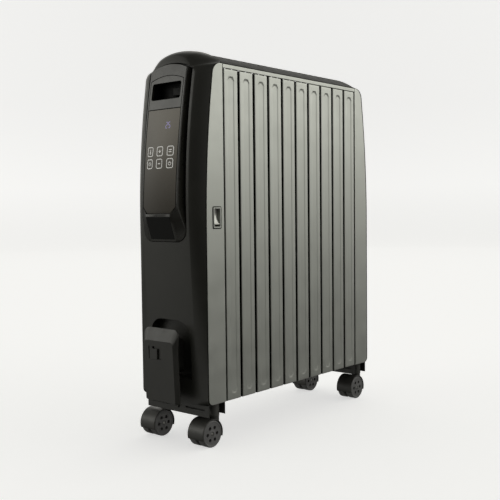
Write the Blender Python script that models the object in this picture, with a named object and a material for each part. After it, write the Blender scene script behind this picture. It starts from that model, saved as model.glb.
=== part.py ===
"""Oil filled radiator heater: ten closed-sided steel fins between two end panels, a black
control housing with a touch control pod and a cord store, and four twin-wheel casters.

Metres, +Z up. The control end faces -Y, the fins run along Y and the heater is 157 mm wide
in X. Inside this file y is measured from the seam between the front end panel and the first
fin; SEAM_Y moves everything so that the origin is the centre of the footprint on the floor.
"""
import math

import bmesh
import bpy
from mathutils import Vector

# Driving dimensions
FIN_COUNT = 10
FIN_PITCH = 0.0393
FIN_GAP = 0.0036
RIB_DEPTH = 0.0010
SHEET = 0.0012
CLEAR = 0.0003
MERGE = 0.00001
HALF_WIDTH = 0.0776
SEAM_Y = -0.1845
FIN_BOTTOM = 0.0711
FIN_TOP = 0.6210
PANEL_BOTTOM = 0.0713
PANEL_TOP = 0.6283
CROWN_TOP = 0.6540
DOME_TOP = 0.6566
PANEL_DEPTH = 0.0445
LOWER_HEADER_Z = 0.106
UPPER_HEADER_Z = 0.586
SLOTS_PER_FIN = 2
HEADER_RADIUS = 0.020
HEADER_BORE = 0.0145
WEB_BOTTOM = 0.082
WEB_TOP = 0.610
FIN_STACK = FIN_COUNT * FIN_PITCH

# Front housing
CREASE_X = 0.054
FRONT_Y = -0.0615
FRONT_Z = 0.395
FRONT_RADIUS = 1.22
FRONT_BREAK_Z = 0.330
FRONT_CROWN = 0.003
FRONT_CREASE_TOP = 0.6450
REAR_CREASE_TOP = 0.6370
REAR_BULGE = 0.0095
SIDE_TURN = 62
SIDE_FULLNESS = 0.35
DOME_TURN = 80
WALL = 0.0025
BAY_HALF = 0.050
BAY_FLOOR_Y = -0.028
BAY_BOTTOM = 0.338
BAY_CORNER = 0.020
STORE_HALF = 0.046
STORE_FLOOR_Y = -0.036
STORE_BOTTOM = 0.097
STORE_TOP = 0.209
STORE_CORNER = 0.028

# Control pod
POD_HALF = 0.042
POD_FRONT_Y = -0.0746
POD_ARC_Z = 0.325
POD_RADIUS = 1.573
POD_CROWN = 0.0042
CHIN_TOP = 0.380
CHIN_SIDE_Z = 0.394
CHIN_HALF = 0.028
INSET_HALF = 0.0385
INSET_BOTTOM = 0.384
INSET_CUT = 0.0107
INSET_SEAM = 0.556
INSET_DEPTH = 0.005
SLOT_HALF = 0.0335
SLOT_BOTTOM = 0.572
SLOT_TOP = 0.600

# Cord store cover
COVER_HALF = 0.0403
COVER_BOTTOM = 0.0725
COVER_TOP = 0.196
COVER_FACE_TOP = 0.174
COVER_STAND = 0.0295

# Pivot of the tip-over switch's weight
TIP_PIVOT = (-0.050, -0.0125, 0.160)

# Brackets and casters
BRACKET_HALF = 0.0725
BRACKET_FRONT = -0.0384
BRACKET_REAR = 0.0015
BRACKET_TOP = 0.0708
BRACKET_SKIRT = 0.0498
BRACKET_SHEET = 0.0015
REAR_SHIFT = 0.4363
CASTER_X = 0.0571
STEM_Y = -0.010
TRAIL = 0.0215
WHEEL_RADIUS = 0.0225
WHEEL_SIDES = 24
AXLE_Z = WHEEL_RADIUS * math.cos(math.pi / WHEEL_SIDES)
CASTER_HALF = 0.0173
WHEEL_INNER = 0.0031
WHEEL_OUTER = 0.0168

# Rocker switch in the side of the front end panel
ROCKER_Y = -0.0184
ROCKER_Z = 0.3774
ROCKER_PIVOT_X = 0.0682
ROCKER_HALF_Y = 0.0062
ROCKER_HALF_Z = 0.0140
ROCKER_TILT = math.radians(9)

# Colour, roughness, metallic
FINISHES = {
    "light_paint": ((0.60, 0.60, 0.57), 0.40, 0.2),
    "fin_paint": ((0.30, 0.30, 0.28), 0.40, 0.2),
    "black_plastic": ((0.035, 0.035, 0.032), 0.45, 0.0),
    "satin_plastic": ((0.07, 0.07, 0.065), 0.35, 0.0),
    "lens": ((0.05, 0.045, 0.04), 0.10, 0.0),
    "steel": ((0.45, 0.45, 0.44), 0.30, 1.0),
    "grey_plastic": ((0.20, 0.20, 0.19), 0.45, 0.0),
    "board_green": ((0.02, 0.12, 0.05), 0.50, 0.0),
    "copper": ((0.55, 0.27, 0.16), 0.35, 1.0),
    "white_plastic": ((0.60, 0.60, 0.57), 0.35, 0.0),
}


# ---------------------------------------------------------------- mesh helpers
def loft(rows, cap_last=True):
    """A closed solid through equal rings of points; a last ring folded flat needs no cap."""
    bm = bmesh.new()
    rings = [[bm.verts.new(point) for point in row] for row in rows]
    count = len(rows[0])
    for low, high in zip(rings, rings[1:]):
        for i in range(count):
            j = (i + 1) % count
            bm.faces.new((low[i], low[j], high[j], high[i]))
    bm.faces.new(rings[0])
    if cap_last:
        bm.faces.new(rings[-1])
    else:
        bmesh.ops.remove_doubles(bm, verts=bm.verts, dist=MERGE)
    bmesh.ops.recalc_face_normals(bm, faces=bm.faces)
    return to_mesh(bm)


def to_mesh(bm):
    mesh = bpy.data.meshes.new("solid")
    bm.to_mesh(mesh)
    bm.free()
    return mesh


def prism(outline, axis, low, high):
    """An outline in the plane across an axis, extruded along it from low to high.

    Outline pairs are (y, z) for axis x, (x, z) for axis y and (x, y) for axis z."""
    places = {
        "x": lambda a, b, depth: (depth, a, b),
        "y": lambda a, b, depth: (a, depth, b),
        "z": lambda a, b, depth: (a, b, depth),
    }
    place = places[axis]
    return loft([[place(a, b, depth) for a, b in outline] for depth in (low, high)])


def box(low, high):
    (x0, y0, z0), (x1, y1, z1) = low, high
    return prism([(x0, y0), (x1, y0), (x1, y1), (x0, y1)], "z", z0, z1)


def circle(radius, sides, centre=(0.0, 0.0), turn=0.0):
    steps = [turn + 2 * math.pi * i / sides for i in range(sides)]
    return [(centre[0] + radius * math.cos(a), centre[1] + radius * math.sin(a)) for a in steps]


def arc(centre, radius, start, end, steps):
    """Points on an arc, angles in degrees, both ends included."""
    angles = [math.radians(start + (end - start) * i / steps) for i in range(steps + 1)]
    return [(centre[0] + radius * math.cos(a), centre[1] + radius * math.sin(a)) for a in angles]


def rounded(half_a, low, high, radius, steps=3):
    """A rectangle outline, symmetric in its first coordinate, with round corners."""
    a, r = half_a - radius, radius
    outline = arc((a, low + r), r, -90, 0, steps) + arc((a, high - r), r, 0, 90, steps)
    outline += arc((-a, high - r), r, 90, 180, steps) + arc((-a, low + r), r, 180, 270, steps)
    return outline


def combine(base, join=(), cut=(), keep=()):
    """Booleans on copies of meshes: unions first, then intersections, then cuts."""
    scratch = bpy.data.objects.new("scratch", base)
    bpy.context.collection.objects.link(scratch)
    tools = []
    steps = [("UNION", m) for m in join] + [("INTERSECT", m) for m in keep]
    for operation, mesh in steps + [("DIFFERENCE", m) for m in cut]:
        tool = bpy.data.objects.new("scratch_tool", mesh)
        bpy.context.collection.objects.link(tool)
        modifier = scratch.modifiers.new(operation, "BOOLEAN")
        modifier.operation = operation
        modifier.object = tool
        tools.append(tool)
    bpy.context.view_layer.update()
    graph = bpy.context.evaluated_depsgraph_get()
    result = bpy.data.meshes.new_from_object(scratch.evaluated_get(graph))
    for unused in tools + [scratch]:
        bpy.data.objects.remove(unused)
    return result


def moved(mesh, offset):
    copy = mesh.copy()
    for vertex in copy.vertices:
        vertex.co += Vector(offset)
    return copy


def mirrored(mesh, axis):
    """A mirror image through the plane at zero on one axis, faces turned back outward."""
    copy = mesh.copy()
    for vertex in copy.vertices:
        vertex.co[axis] = -vertex.co[axis]
    copy.flip_normals()
    return copy


def place(name, mesh, finish, pivot=(0.0, 0.0, 0.0), parent=None):
    """Link a named sub-part. Its mesh is given around its pivot, y from the seam."""
    colour, roughness, metallic = FINISHES[finish]
    material = bpy.data.materials.new(name)
    material.use_nodes = True
    shader = material.node_tree.nodes["Principled BSDF"]
    shader.inputs["Base Color"].default_value = (*colour, 1.0)
    shader.inputs["Roughness"].default_value = roughness
    shader.inputs["Metallic"].default_value = metallic
    mesh = mesh.copy()
    mesh.materials.clear()
    mesh.materials.append(material)
    mesh.shade_smooth()
    mesh.set_sharp_from_angle(angle=math.radians(30))
    mesh.name = name
    piece = bpy.data.objects.new(name, mesh)
    bpy.context.collection.objects.link(piece)
    if parent:
        piece.parent = parent
        piece.location = Vector(pivot)
    else:
        piece.location = Vector(pivot) + Vector((0.0, SEAM_Y, 0.0))
    return piece


# ---------------------------------------------------------------- shared outlines
def panel_edge(z):
    """Distance of the end panel's outer edge from the fin seam at one height."""
    corner = 0.010
    if z < PANEL_BOTTOM + corner:
        rise = corner - (z - PANEL_BOTTOM)
        return PANEL_DEPTH - corner + math.sqrt(max(corner ** 2 - rise ** 2, 0.0))
    start, radius = 0.361, 1.694
    if z < start:
        return PANEL_DEPTH
    return PANEL_DEPTH - radius + math.sqrt(radius ** 2 - (z - start) ** 2)


EDGE_TOP = 0.608
EDGE_CORNER = PANEL_TOP - EDGE_TOP
LOW_CORNER_HEIGHTS = [PANEL_BOTTOM + 0.010 * (1 - math.cos(math.radians(30 * i))) for i in range(4)]
ARC_HEIGHTS = [0.361, 0.420, 0.480, 0.540, 0.575]


def panel_outline():
    """Side view of an end panel as (distance from the seam, height)."""
    outline = [(panel_edge(z), z) for z in LOW_CORNER_HEIGHTS + ARC_HEIGHTS]
    top_edge = panel_edge(EDGE_TOP)
    outline += arc((top_edge - EDGE_CORNER, EDGE_TOP), EDGE_CORNER, 0, 90, 5)
    return outline


def front_line(z):
    """The housing's front crease in side view: an arc, and its tangent below the break."""
    low = max(z, FRONT_BREAK_Z)
    y = FRONT_Y + (low - FRONT_Z) ** 2 / (2 * FRONT_RADIUS)
    slope = (FRONT_BREAK_Z - FRONT_Z) / FRONT_RADIUS
    return y + min(z - FRONT_BREAK_Z, 0.0) * slope


def crown_arch(x, top=CROWN_TOP):
    """Height of the crowned top over the width, a circular arc."""
    rise = top - PANEL_TOP
    radius = (HALF_WIDTH ** 2 + rise ** 2) / (2 * rise)
    return top - radius + math.sqrt(radius ** 2 - x ** 2)


# ---------------------------------------------------------------- fins
def fin_mesh():
    """One fin: welded web with an oil channel, two headers, folded side panels with a
    long rib pressed inwards."""
    half = (FIN_PITCH - FIN_GAP) / 2
    fold, bend = 0.006, 0.0016
    inner = HALF_WIDTH - SHEET
    lip = HALF_WIDTH - fold
    side = [(lip, -half), (HALF_WIDTH - bend, -half), (HALF_WIDTH, -half + bend)]
    side += [(HALF_WIDTH, half - bend), (HALF_WIDTH - bend, half), (lip, half)]
    side += [(lip, half - SHEET), (inner, half - SHEET), (inner, SHEET - half), (lip, SHEET - half)]
    panel = prism(side, "z", FIN_BOTTOM, FIN_TOP)

    def rib_ring(inset, x):
        low, high = 0.0835, 0.6095
        outline = rounded(0.0082 - inset, low + inset, high - inset, 0.0081 - inset, 2)
        return [(x, y, z) for y, z in outline]

    rib = loft([rib_ring(-0.0008, HALF_WIDTH - RIB_DEPTH - SHEET), rib_ring(-0.0008, HALF_WIDTH - SHEET / 2)])
    groove = loft([rib_ring(0.0018, HALF_WIDTH - RIB_DEPTH), rib_ring(0.0, HALF_WIDTH),
                   rib_ring(0.0, HALF_WIDTH + 0.0010)])
    reach = inner + SHEET / 2
    web = box((-reach, -SHEET, WEB_BOTTOM), (reach, SHEET, WEB_TOP))
    deep, wide = 0.0065, 0.030
    channel = [(-wide, -0.002), (0.005 - wide, -deep), (wide - 0.005, -deep), (wide, -0.002)]
    channel += [(-x, -y) for x, y in channel]
    channel = prism(channel, "z", LOWER_HEADER_Z, UPPER_HEADER_Z)
    reach_y = FIN_PITCH / 2 - CLEAR / 2
    joins, cuts = [channel], [groove, mirrored(groove, 0)]
    for z in (LOWER_HEADER_Z, UPPER_HEADER_Z):
        joins.append(prism(circle(HEADER_RADIUS, 12, (0.0, z)), "y", -reach_y, reach_y))
        cuts.append(prism(circle(HEADER_BORE, 12, (0.0, z)), "y", -0.03, 0.03))
    oil_way = box((0.003 - wide, -0.0048, LOWER_HEADER_Z), (wide - 0.003, 0.0048, UPPER_HEADER_Z))
    joins += [panel, mirrored(panel, 0), rib, mirrored(rib, 0)]
    return combine(web, join=joins, cut=cuts + [oil_way])


def build_fins():
    mesh = fin_mesh()
    for number in range(FIN_COUNT):
        centre = FIN_PITCH * (number + 0.5)
        place(f"fin_{number + 1:02d}", mesh, "fin_paint", (0.0, centre, 0.0))


# ---------------------------------------------------------------- end panels and rails
def end_panel_mesh(front):
    """Side walls and inner plate folded from one sheet, with a foot flange for the bracket."""
    near = CLEAR
    outline = [(near, PANEL_BOTTOM)] + panel_outline() + [(near, PANEL_TOP)]
    block = prism([(-d, z) for d, z in outline], "x", -HALF_WIDTH, HALF_WIDTH)
    plate = 0.0018
    room = box((SHEET - HALF_WIDTH, -0.06, 0.06), (HALF_WIDTH - SHEET, -plate, 0.64))
    foot = box((-0.077, -0.0335, PANEL_BOTTOM), (0.077, -0.001, PANEL_BOTTOM + 0.0015))
    shell = combine(block, cut=[room])
    cuts = [prism(circle(0.0215, 20, (0.0, z)), "y", -0.01, 0.01)
            for z in (LOWER_HEADER_Z, UPPER_HEADER_Z)]
    stem, bolt = STEM_Y, -0.020
    if not front:
        stem, bolt = FIN_STACK - REAR_SHIFT - STEM_Y, FIN_STACK - REAR_SHIFT - bolt
    for side in (-1, 1):
        cuts.append(prism(circle(0.0050, 12, (side * CASTER_X, stem)), "z", 0.065, 0.080))
        cuts.append(prism(circle(0.0028, 10, (side * 0.030, bolt)), "z", 0.065, 0.080))
    if front:
        window = rounded(0.0079, ROCKER_Z - 0.0155, ROCKER_Z + 0.0155, 0.001, 1)
        cuts.append(prism([(ROCKER_Y + a, z) for a, z in window], "x", 0.070, 0.080))
    return combine(shell, join=[foot], cut=cuts)


def build_end_panels():
    place("front_end_panel", end_panel_mesh(True), "light_paint")
    rear = mirrored(end_panel_mesh(False), 1)
    place("rear_end_panel", moved(rear, (0.0, FIN_STACK, 0.0)), "light_paint")


def build_side_rails():
    """Pale strips along the tops of the fins that carry the top cover."""
    low, high = FIN_TOP + 0.0005, PANEL_TOP
    inner = HALF_WIDTH - 0.0150
    profile = [(HALF_WIDTH, low), (HALF_WIDTH, high - 0.001), (HALF_WIDTH - 0.001, high)]
    profile += [(inner, high), (inner, high - 0.0014), (HALF_WIDTH - 0.0016, high - 0.0014)]
    profile += [(HALF_WIDTH - 0.0016, low)]
    rail = prism(profile, "y", CLEAR, FIN_STACK - CLEAR)
    place("side_rail_right", rail, "light_paint")
    place("side_rail_left", mirrored(rail, 0), "light_paint")


# ---------------------------------------------------------------- top cover
def build_top_cover():
    """Arched slotted cover that rests on the side rails between the two end covers."""
    base, steps = PANEL_TOP + CLEAR, 10

    def arched(inset, edge, low, high):
        half = HALF_WIDTH - 0.0012 - inset
        xs = [half * math.cos(math.pi * i / steps) for i in range(steps + 1)]
        outline = [(x, max(crown_arch(x) - inset, base + edge)) for x in xs]
        return prism(outline + [(-half, base - inset), (half, base - inset)], "y", low, high)

    cuts = [arched(0.0022, -0.001, -0.010, FIN_STACK + 0.010)]
    for slot in range(FIN_COUNT * SLOTS_PER_FIN):
        centre = FIN_PITCH / SLOTS_PER_FIN * (slot + 0.5)
        cuts.append(box((-0.052, centre - 0.0045, 0.60), (0.052, centre + 0.0045, 0.66)))
    outer = arched(0.0, 0.0012, CLEAR, FIN_STACK - CLEAR)
    place("top_cover", combine(outer, cut=cuts), "black_plastic")


# ---------------------------------------------------------------- end covers
def rear_line(z):
    """The rear cover's crease in side view, parallel to the end panel's edge."""
    return -(panel_edge(z) + REAR_BULGE)


def cover_stations(crease):
    """Pairs of outer edge and crease points, up one side and over the arch to its top."""
    front = crease is front_line
    crease_top = FRONT_CREASE_TOP if front else REAR_CREASE_TOP
    dome_top = DOME_TOP if front else CROWN_TOP
    heights = [PANEL_BOTTOM + CLEAR] + LOW_CORNER_HEIGHTS[1:] + [0.150, 0.240, FRONT_BREAK_Z]
    pairs = []
    for z in heights + ARC_HEIGHTS:
        pairs.append(((HALF_WIDTH, -panel_edge(z) - CLEAR, z), (CREASE_X, crease(z), z)))
    edge_y = -panel_edge(EDGE_TOP) - CLEAR
    outer_corner = arc((edge_y + EDGE_CORNER, EDGE_TOP), EDGE_CORNER, 180, 90, 5)
    inner_corner = arc((CREASE_X - 0.014, 0.610), 0.014, 0, 72, 5)
    for (y, z), (x, crease_z) in zip(outer_corner, inner_corner):
        pairs.append(((HALF_WIDTH, y, z + CLEAR), (x, crease(crease_z), crease_z)))
    last_x, last_z = inner_corner[-1]
    radius = (last_x ** 2 + (crease_top - last_z) ** 2) / (2 * (crease_top - last_z))
    for share in (0.86, 0.70, 0.52, 0.34, 0.17, 0.0):
        x = last_x * share
        crease_z = crease_top - radius + math.sqrt(radius ** 2 - x ** 2)
        outer_x = HALF_WIDTH * share
        outer = (outer_x, -CLEAR, crown_arch(outer_x, dome_top))
        pairs.append((outer, (x, crease(crease_z), crease_z)))
    return pairs


def cover_solid(crease, inset, back):
    """An end cover's form, shrunk by inset, with its back at a plane or its own edge."""
    rows = []
    for (ox, oy, oz), (ix, iy, iz) in cover_stations(crease):
        dome = min(1.0, 1.5 * (1.0 - (ox / HALF_WIDTH) ** 2))
        turn = math.radians(SIDE_TURN + (DOME_TURN - SIDE_TURN) * dome)
        fullness = SIDE_FULLNESS + (1.0 - SIDE_FULLNESS) * dome
        squeeze = max(1.0 - inset / max(ox, 0.012), 0.0)
        crown = FRONT_CROWN * min(ix / 0.040, 1.0) ** 2
        ox, ix = ox * squeeze, ix * squeeze
        iy, oy = iy + inset, oy + inset
        lift = -inset if oz > 0.6 else inset * max(0.0, min(1.0, (0.0945 - oz) / 0.02))
        half = [] if back is None else [(ox, back, oz + lift)]
        for i in range(6):
            angle = turn * i / 5
            side = (math.cos(angle) - math.cos(turn)) / (1 - math.cos(turn))
            fore = math.sin(angle) / math.sin(turn)
            side = (1.0 - fore) + fullness * (side + fore - 1.0)
            x, y, z = ix + (ox - ix) * side, oy + (iy - oy) * fore, iz + (oz - iz) * side
            half.append((x, y, z + lift))
        for share in (0.66, 0.33):
            half.append((ix * share, iy - crown * (1 - share ** 2), iz + lift))
        centre = (0.0, iy - crown, iz + lift)
        rows.append(half + [centre] + [(-x, y, z) for x, y, z in reversed(half)])
    return loft(rows, cap_last=False)


def bay_outline(grow=0.0):
    """Front view of the pod bay: straight sides, arched top, large lower corners."""
    half = BAY_HALF + grow
    side_top, arch_top = 0.6215 + grow, 0.6325 + grow
    radius = (half ** 2 + (arch_top - side_top) ** 2) / (2 * (arch_top - side_top))
    spread = math.degrees(math.asin(half / radius))
    outline = arc((0.0, arch_top - radius), radius, 90 - spread, 90 + spread, 8)
    corner = BAY_CORNER + grow
    centre_x, centre_z = BAY_HALF - BAY_CORNER, BAY_BOTTOM + BAY_CORNER
    outline += arc((-centre_x, centre_z), corner, 180, 270, 4)
    outline += arc((centre_x, centre_z), corner, 270, 360, 4)
    return outline


def store_outline(grow=0.0):
    """Front view of the cord store: straight sides and a round-cornered top."""
    half, top = STORE_HALF + grow, STORE_TOP + grow
    corner = STORE_CORNER + grow
    outline = arc((half - corner, top - corner), corner, 0, 90, 5)
    outline += arc((corner - half, top - corner), corner, 90, 180, 5)
    return outline + [(-half, STORE_BOTTOM - grow), (half, STORE_BOTTOM - grow)]


def store_cutter():
    """The cord store's space, its floor ramping out to the front face at the bottom."""
    mesh = prism(store_outline(), "y", -0.100, STORE_FLOOR_Y)
    for vertex in mesh.vertices:
        if vertex.co.y > -0.09 and vertex.co.z < STORE_BOTTOM + 0.001:
            vertex.co.z += 0.018
    return mesh


def build_front_housing():
    shell = combine(cover_solid(front_line, 0.0, None), cut=[cover_solid(front_line, WALL, 0.010)])
    inside = cover_solid(front_line, 0.0011, 0.0)
    bay_block = prism(bay_outline(WALL), "y", -0.090, BAY_FLOOR_Y + WALL)
    store_block = prism(store_outline(WALL), "y", -0.090, STORE_FLOOR_Y + WALL)
    blocks = combine(combine(bay_block, keep=[inside]), join=[combine(store_block, keep=[inside])])
    cuts = [prism(bay_outline(), "y", -0.100, BAY_FLOOR_Y), store_cutter()]
    cuts.append(prism(circle(0.0063, 14, (-0.024, 0.150)), "y", -0.05, -0.02))
    cuts.append(box((-0.020, -0.040, 0.470), (0.020, -0.020, 0.500)))
    body = combine(shell, join=[blocks], cut=cuts)
    place("front_housing", body, "black_plastic")


# ---------------------------------------------------------------- control pod
def pod_line(z):
    """The pod's front edge in side view, one long arc."""
    return POD_FRONT_Y + (z - POD_ARC_Z) ** 2 / (2 * POD_RADIUS)


def pod_crown(z):
    """How far the pod's middle stands in front of its edges, less towards the handle."""
    share = min(max((0.600 - z) / 0.120, 0.1), 1.0)
    return POD_CROWN * share


def pod_arch(half, side_top, arch_top):
    """Everything under an arched top, as a front-view outline."""
    radius = (half ** 2 + (arch_top - side_top) ** 2) / (2 * (arch_top - side_top))
    spread = math.degrees(math.asin(half / radius))
    outline = arc((0.0, arch_top - radius), radius, 90 - spread, 90 + spread, 8)
    return outline + [(-half, 0.30), (half, 0.30)]


def inset_outline(shrink):
    """Front view of the pod's inset face: arched top, lower corners cut at 45 degrees."""
    half, bottom = INSET_HALF - shrink, INSET_BOTTOM + shrink
    side_top, arch_top = 0.6045 - shrink, 0.6120 - shrink
    cut = INSET_CUT - 0.4 * shrink
    radius = (half ** 2 + (arch_top - side_top) ** 2) / (2 * (arch_top - side_top))
    spread = math.degrees(math.asin(half / radius))
    outline = arc((0.0, arch_top - radius), radius, 90 - spread, 90 + spread, 8)
    outline += [(-half, bottom + cut), (cut - half, bottom)]
    return outline + [(half - cut, bottom), (half, bottom + cut)]


def pod_slab(half, low, high, front, back):
    """A slab that follows the pod's front, between two depths behind it."""
    count = max(2, math.ceil((high - low) / 0.030))
    rows = []
    for i in range(count + 1):
        z = low + (high - low) * i / count
        crown = pod_crown(z)
        face = [(half * s, pod_line(z) + front - crown * (1 - s ** 2), z)
                for s in (1.0, 0.6, 0.2, -0.2, -0.6, -1.0)]
        rear_y = pod_line(z) + back if back < 0.02 else BAY_FLOOR_Y + 0.01
        rows.append(face + [(-half, rear_y, z), (half, rear_y, z)])
    return loft(rows)


def pod_body_solid():
    """Pod with its chin: below the face it slopes back and widens to meet the bay edge."""
    rows = []
    back = BAY_FLOOR_Y - CLEAR
    corner = BAY_CORNER - 0.0006
    centre_x, centre_z = BAY_HALF - BAY_CORNER, BAY_BOTTOM + BAY_CORNER
    for z in (0.3392, 0.3415, 0.3460, 0.3515, centre_z, 0.3660, CHIN_TOP):
        if z <= centre_z:
            half = centre_x + math.sqrt(max(corner ** 2 - (centre_z - z) ** 2, 0.0))
            side = -0.0630
        else:
            share = (z - centre_z) / (CHIN_SIDE_Z - centre_z)
            half = centre_x + corner + (POD_HALF - centre_x - corner) * share
            side = -0.0630 + (pod_line(CHIN_SIDE_Z) + 0.0630) * share
        rise = (z - BAY_BOTTOM) / (CHIN_TOP - BAY_BOTTOM)
        chin = -0.0645 + (pod_line(CHIN_TOP) - POD_CROWN + 0.0645) * rise
        chin = min(chin, side - 0.0002)
        right = [(half, back, z), (half, side + 0.0012, z), (half - 0.0008, side, z)]
        right += [(CHIN_HALF, chin, z), (CHIN_HALF / 2, chin - 0.0002, z)]
        rows.append(right + [(0.0, chin - 0.0003, z)] + [(-x, y, w) for x, y, w in reversed(right)])
    for z in (CHIN_SIDE_Z, 0.402, 0.430, 0.460, 0.490, 0.520, 0.550, 0.580, 0.605, 0.640):
        edge, crown = pod_line(z), pod_crown(z)
        right = [(POD_HALF, back, z), (POD_HALF, edge + 0.0018, z), (POD_HALF - 0.0012, edge, z)]
        for share in (CHIN_HALF / POD_HALF, CHIN_HALF / POD_HALF / 2):
            right.append((POD_HALF * share, edge - crown * (1 - share ** 2), z))
        rows.append(right + [(0.0, edge - crown, z)] + [(-x, y, w) for x, y, w in reversed(right)])
    return loft(rows)


def build_pod():
    under_arch = prism(pod_arch(BAY_HALF, 0.6170, 0.6300), "y", -0.100, 0.0)
    pocket_form = prism(inset_outline(0.0), "y", -0.120, 0.0)
    pocket = combine(pod_slab(POD_HALF, 0.380, 0.625, -0.020, INSET_DEPTH), keep=[pocket_form])
    room = pod_slab(0.031, 0.400, 0.542, -0.004, 0.05)
    grip_room = box((-SLOT_HALF - 0.0023, -0.080, SLOT_BOTTOM - 0.0023),
                    (SLOT_HALF + 0.0023, -0.020, SLOT_TOP + 0.0023))
    pod = combine(pod_body_solid(), keep=[under_arch], cut=[pocket, room, grip_room])
    place("control_pod", pod, "satin_plastic")

    insert_form = prism(inset_outline(CLEAR), "y", -0.120, 0.0)
    bezel = pod_slab(POD_HALF, INSET_SEAM + CLEAR, 0.625, 0.0, INSET_DEPTH - CLEAR)
    slot = prism(rounded(SLOT_HALF, SLOT_BOTTOM, SLOT_TOP, 0.003, 2), "y", -0.100, 0.0)
    place("handle_bezel", combine(bezel, keep=[insert_form], cut=[slot]), "satin_plastic")

    lens = pod_slab(POD_HALF, 0.380, INSET_SEAM - CLEAR, 0.0004, INSET_DEPTH - CLEAR)
    place("display_lens", combine(lens, keep=[insert_form]), "lens")

    cup_half, low, high = SLOT_HALF + 0.0020, SLOT_BOTTOM - 0.0020, SLOT_TOP + 0.0020
    cup = box((-cup_half, -0.0580, low), (cup_half, BAY_FLOOR_Y - CLEAR, high))
    bezel_space = pod_slab(POD_HALF, 0.560, 0.612, -0.020, INSET_DEPTH)
    hollow = box((-SLOT_HALF, -0.080, SLOT_BOTTOM), (SLOT_HALF, -0.0315, SLOT_TOP))
    grip = box((0.003, -0.041, 0.578), (SLOT_HALF + 0.001, -0.030, 0.592))
    place("handle_cup", combine(combine(cup, cut=[hollow, bezel_space]), join=[grip]), "black_plastic")

    board = box((-0.0295, -0.0440, 0.402), (0.0295, -0.0424, 0.538))
    place("control_board", board, "board_green")
    module = box((-0.022, -0.0550, 0.508), (0.022, -0.0443, 0.536))
    place("display_module", module, "black_plastic")


# ---------------------------------------------------------------- cord store
def cover_ring(half, low, high, corner, side_depth, top_depth):
    """Outline of the cord cover at one depth behind its face; its top edge lies deeper."""
    foot, waist = 0.002, 0.160
    outline = [(-half, waist), (-half, low + foot), (foot - half, low)]
    outline += [(half - foot, low), (half, low + foot), (half, waist)]
    outline += arc((half - corner, high - corner), corner, 0, 90, 4)
    outline += arc((corner - half, high - corner), corner, 90, 180, 4)
    ring = []
    for x, z in outline:
        share = max(0.0, (z - COVER_FACE_TOP) / (COVER_TOP - COVER_FACE_TOP))
        depth = side_depth + (top_depth - side_depth) * share
        ring.append((x, front_line(z) - COVER_STAND + depth, z))
    return ring


def build_cord_store():
    """Raised cover with bevelled edges on a post; the cord winds behind it."""
    low, high, half = COVER_BOTTOM, COVER_TOP, COVER_HALF
    face_half, face_high = half - 0.0075, COVER_FACE_TOP + 0.0015
    plate = loft([
        cover_ring(half, low, high, 0.012, 0.0056, 0.0120),
        cover_ring(half, low, high, 0.012, 0.0032, 0.0100),
        cover_ring(face_half, low + 0.0015, face_high, 0.006, 0.0, 0.0),
    ])
    hollow = loft([
        cover_ring(half - 0.0020, low + 0.0020, high - 0.0020, 0.010, 0.0200, 0.0200),
        cover_ring(half - 0.0020, low + 0.0020, high - 0.0020, 0.010, 0.0048, 0.0110),
        cover_ring(face_half - 0.0010, low + 0.0035, face_high - 0.0010, 0.005, 0.0020, 0.0020),
    ])
    outline = rounded(0.014, 0.118, 0.176, 0.010, 3)
    front = [(x, front_line(z) - COVER_STAND + 0.0010, z) for x, z in outline]
    post = loft([front, [(x, STORE_FLOOR_Y - CLEAR, z) for x, z in outline]])
    clip = box((-0.0240, -0.0900, 0.1445), (0.0055, -0.0765, 0.1660))
    tab = box((-0.0225, -0.0798, 0.1435), (-0.0045, -0.0772, 0.1615))
    dish = combine(plate, cut=[hollow])
    cover = combine(combine(dish, join=[post], cut=[clip]), join=[tab])
    place("cord_cover", cover, "black_plastic")

    profile = [(-0.0440, 0.0052), (-0.0370, 0.0058), (-0.0363, 0.0085)]
    rim = [[(x - 0.024, y, z + 0.150) for x, z in circle(radius, 14)] for y, radius in profile]
    shank = prism(circle(0.0058, 14, (-0.024, 0.150)), "y", -0.0400, -0.0275)
    bore = prism(circle(0.0036, 12, (-0.024, 0.150)), "y", -0.060, -0.010)
    place("cord_gland", combine(loft(rim), join=[shank], cut=[bore]), "black_plastic")


# ---------------------------------------------------------------- rear cover
def build_rear_cover():
    """Domed cover over the rear end panel, vented near its top and bottom."""
    shell = combine(cover_solid(rear_line, 0.0, None), cut=[cover_solid(rear_line, WALL, 0.010)])
    cuts = []
    for base in (0.105, 0.540):
        for row in range(4):
            z = base + 0.012 * row
            cuts.append(box((-0.040, -0.080, z), (0.040, -0.020, z + 0.005)))
    cover = mirrored(combine(shell, cut=cuts), 1)
    place("rear_cover", moved(cover, (0.0, FIN_STACK, 0.0)), "black_plastic")


# ---------------------------------------------------------------- heater inner parts
def disc(z, radius, low, high, sides=20):
    """A round plate across Y on the centre line."""
    return prism(circle(radius, sides, (0.0, z)), "y", low, high)


def build_element():
    """Hairpin immersion element in the lower header, screwed into the first fin."""
    rod, spread, end = 0.0040, 0.0065, 0.300
    points = [(-spread, -0.0005)]
    points += [(x, y) for x, y in arc((0.0, end), spread, 180, 0, 8)]
    points += [(spread, -0.0005)]
    rows = []
    for i, point in enumerate(points):
        before = Vector(points[max(i - 1, 0)])
        after = Vector(points[min(i + 1, len(points) - 1)])
        along = (after - before).normalized()
        across = Vector((along.y, -along.x))
        row = []
        for a, b in circle(rod, 10):
            row.append((point[0] + across.x * a, point[1] + across.y * a, LOWER_HEADER_Z + b))
        rows.append(row)
    place("heating_element", loft(rows), "copper")

    hexagon = disc(LOWER_HEADER_Z, 0.011, -0.013, -0.003, 6)
    flange = combine(disc(LOWER_HEADER_Z, 0.019, -0.0070, -0.0009), join=[hexagon])
    place("element_flange", flange, "steel")


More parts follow.
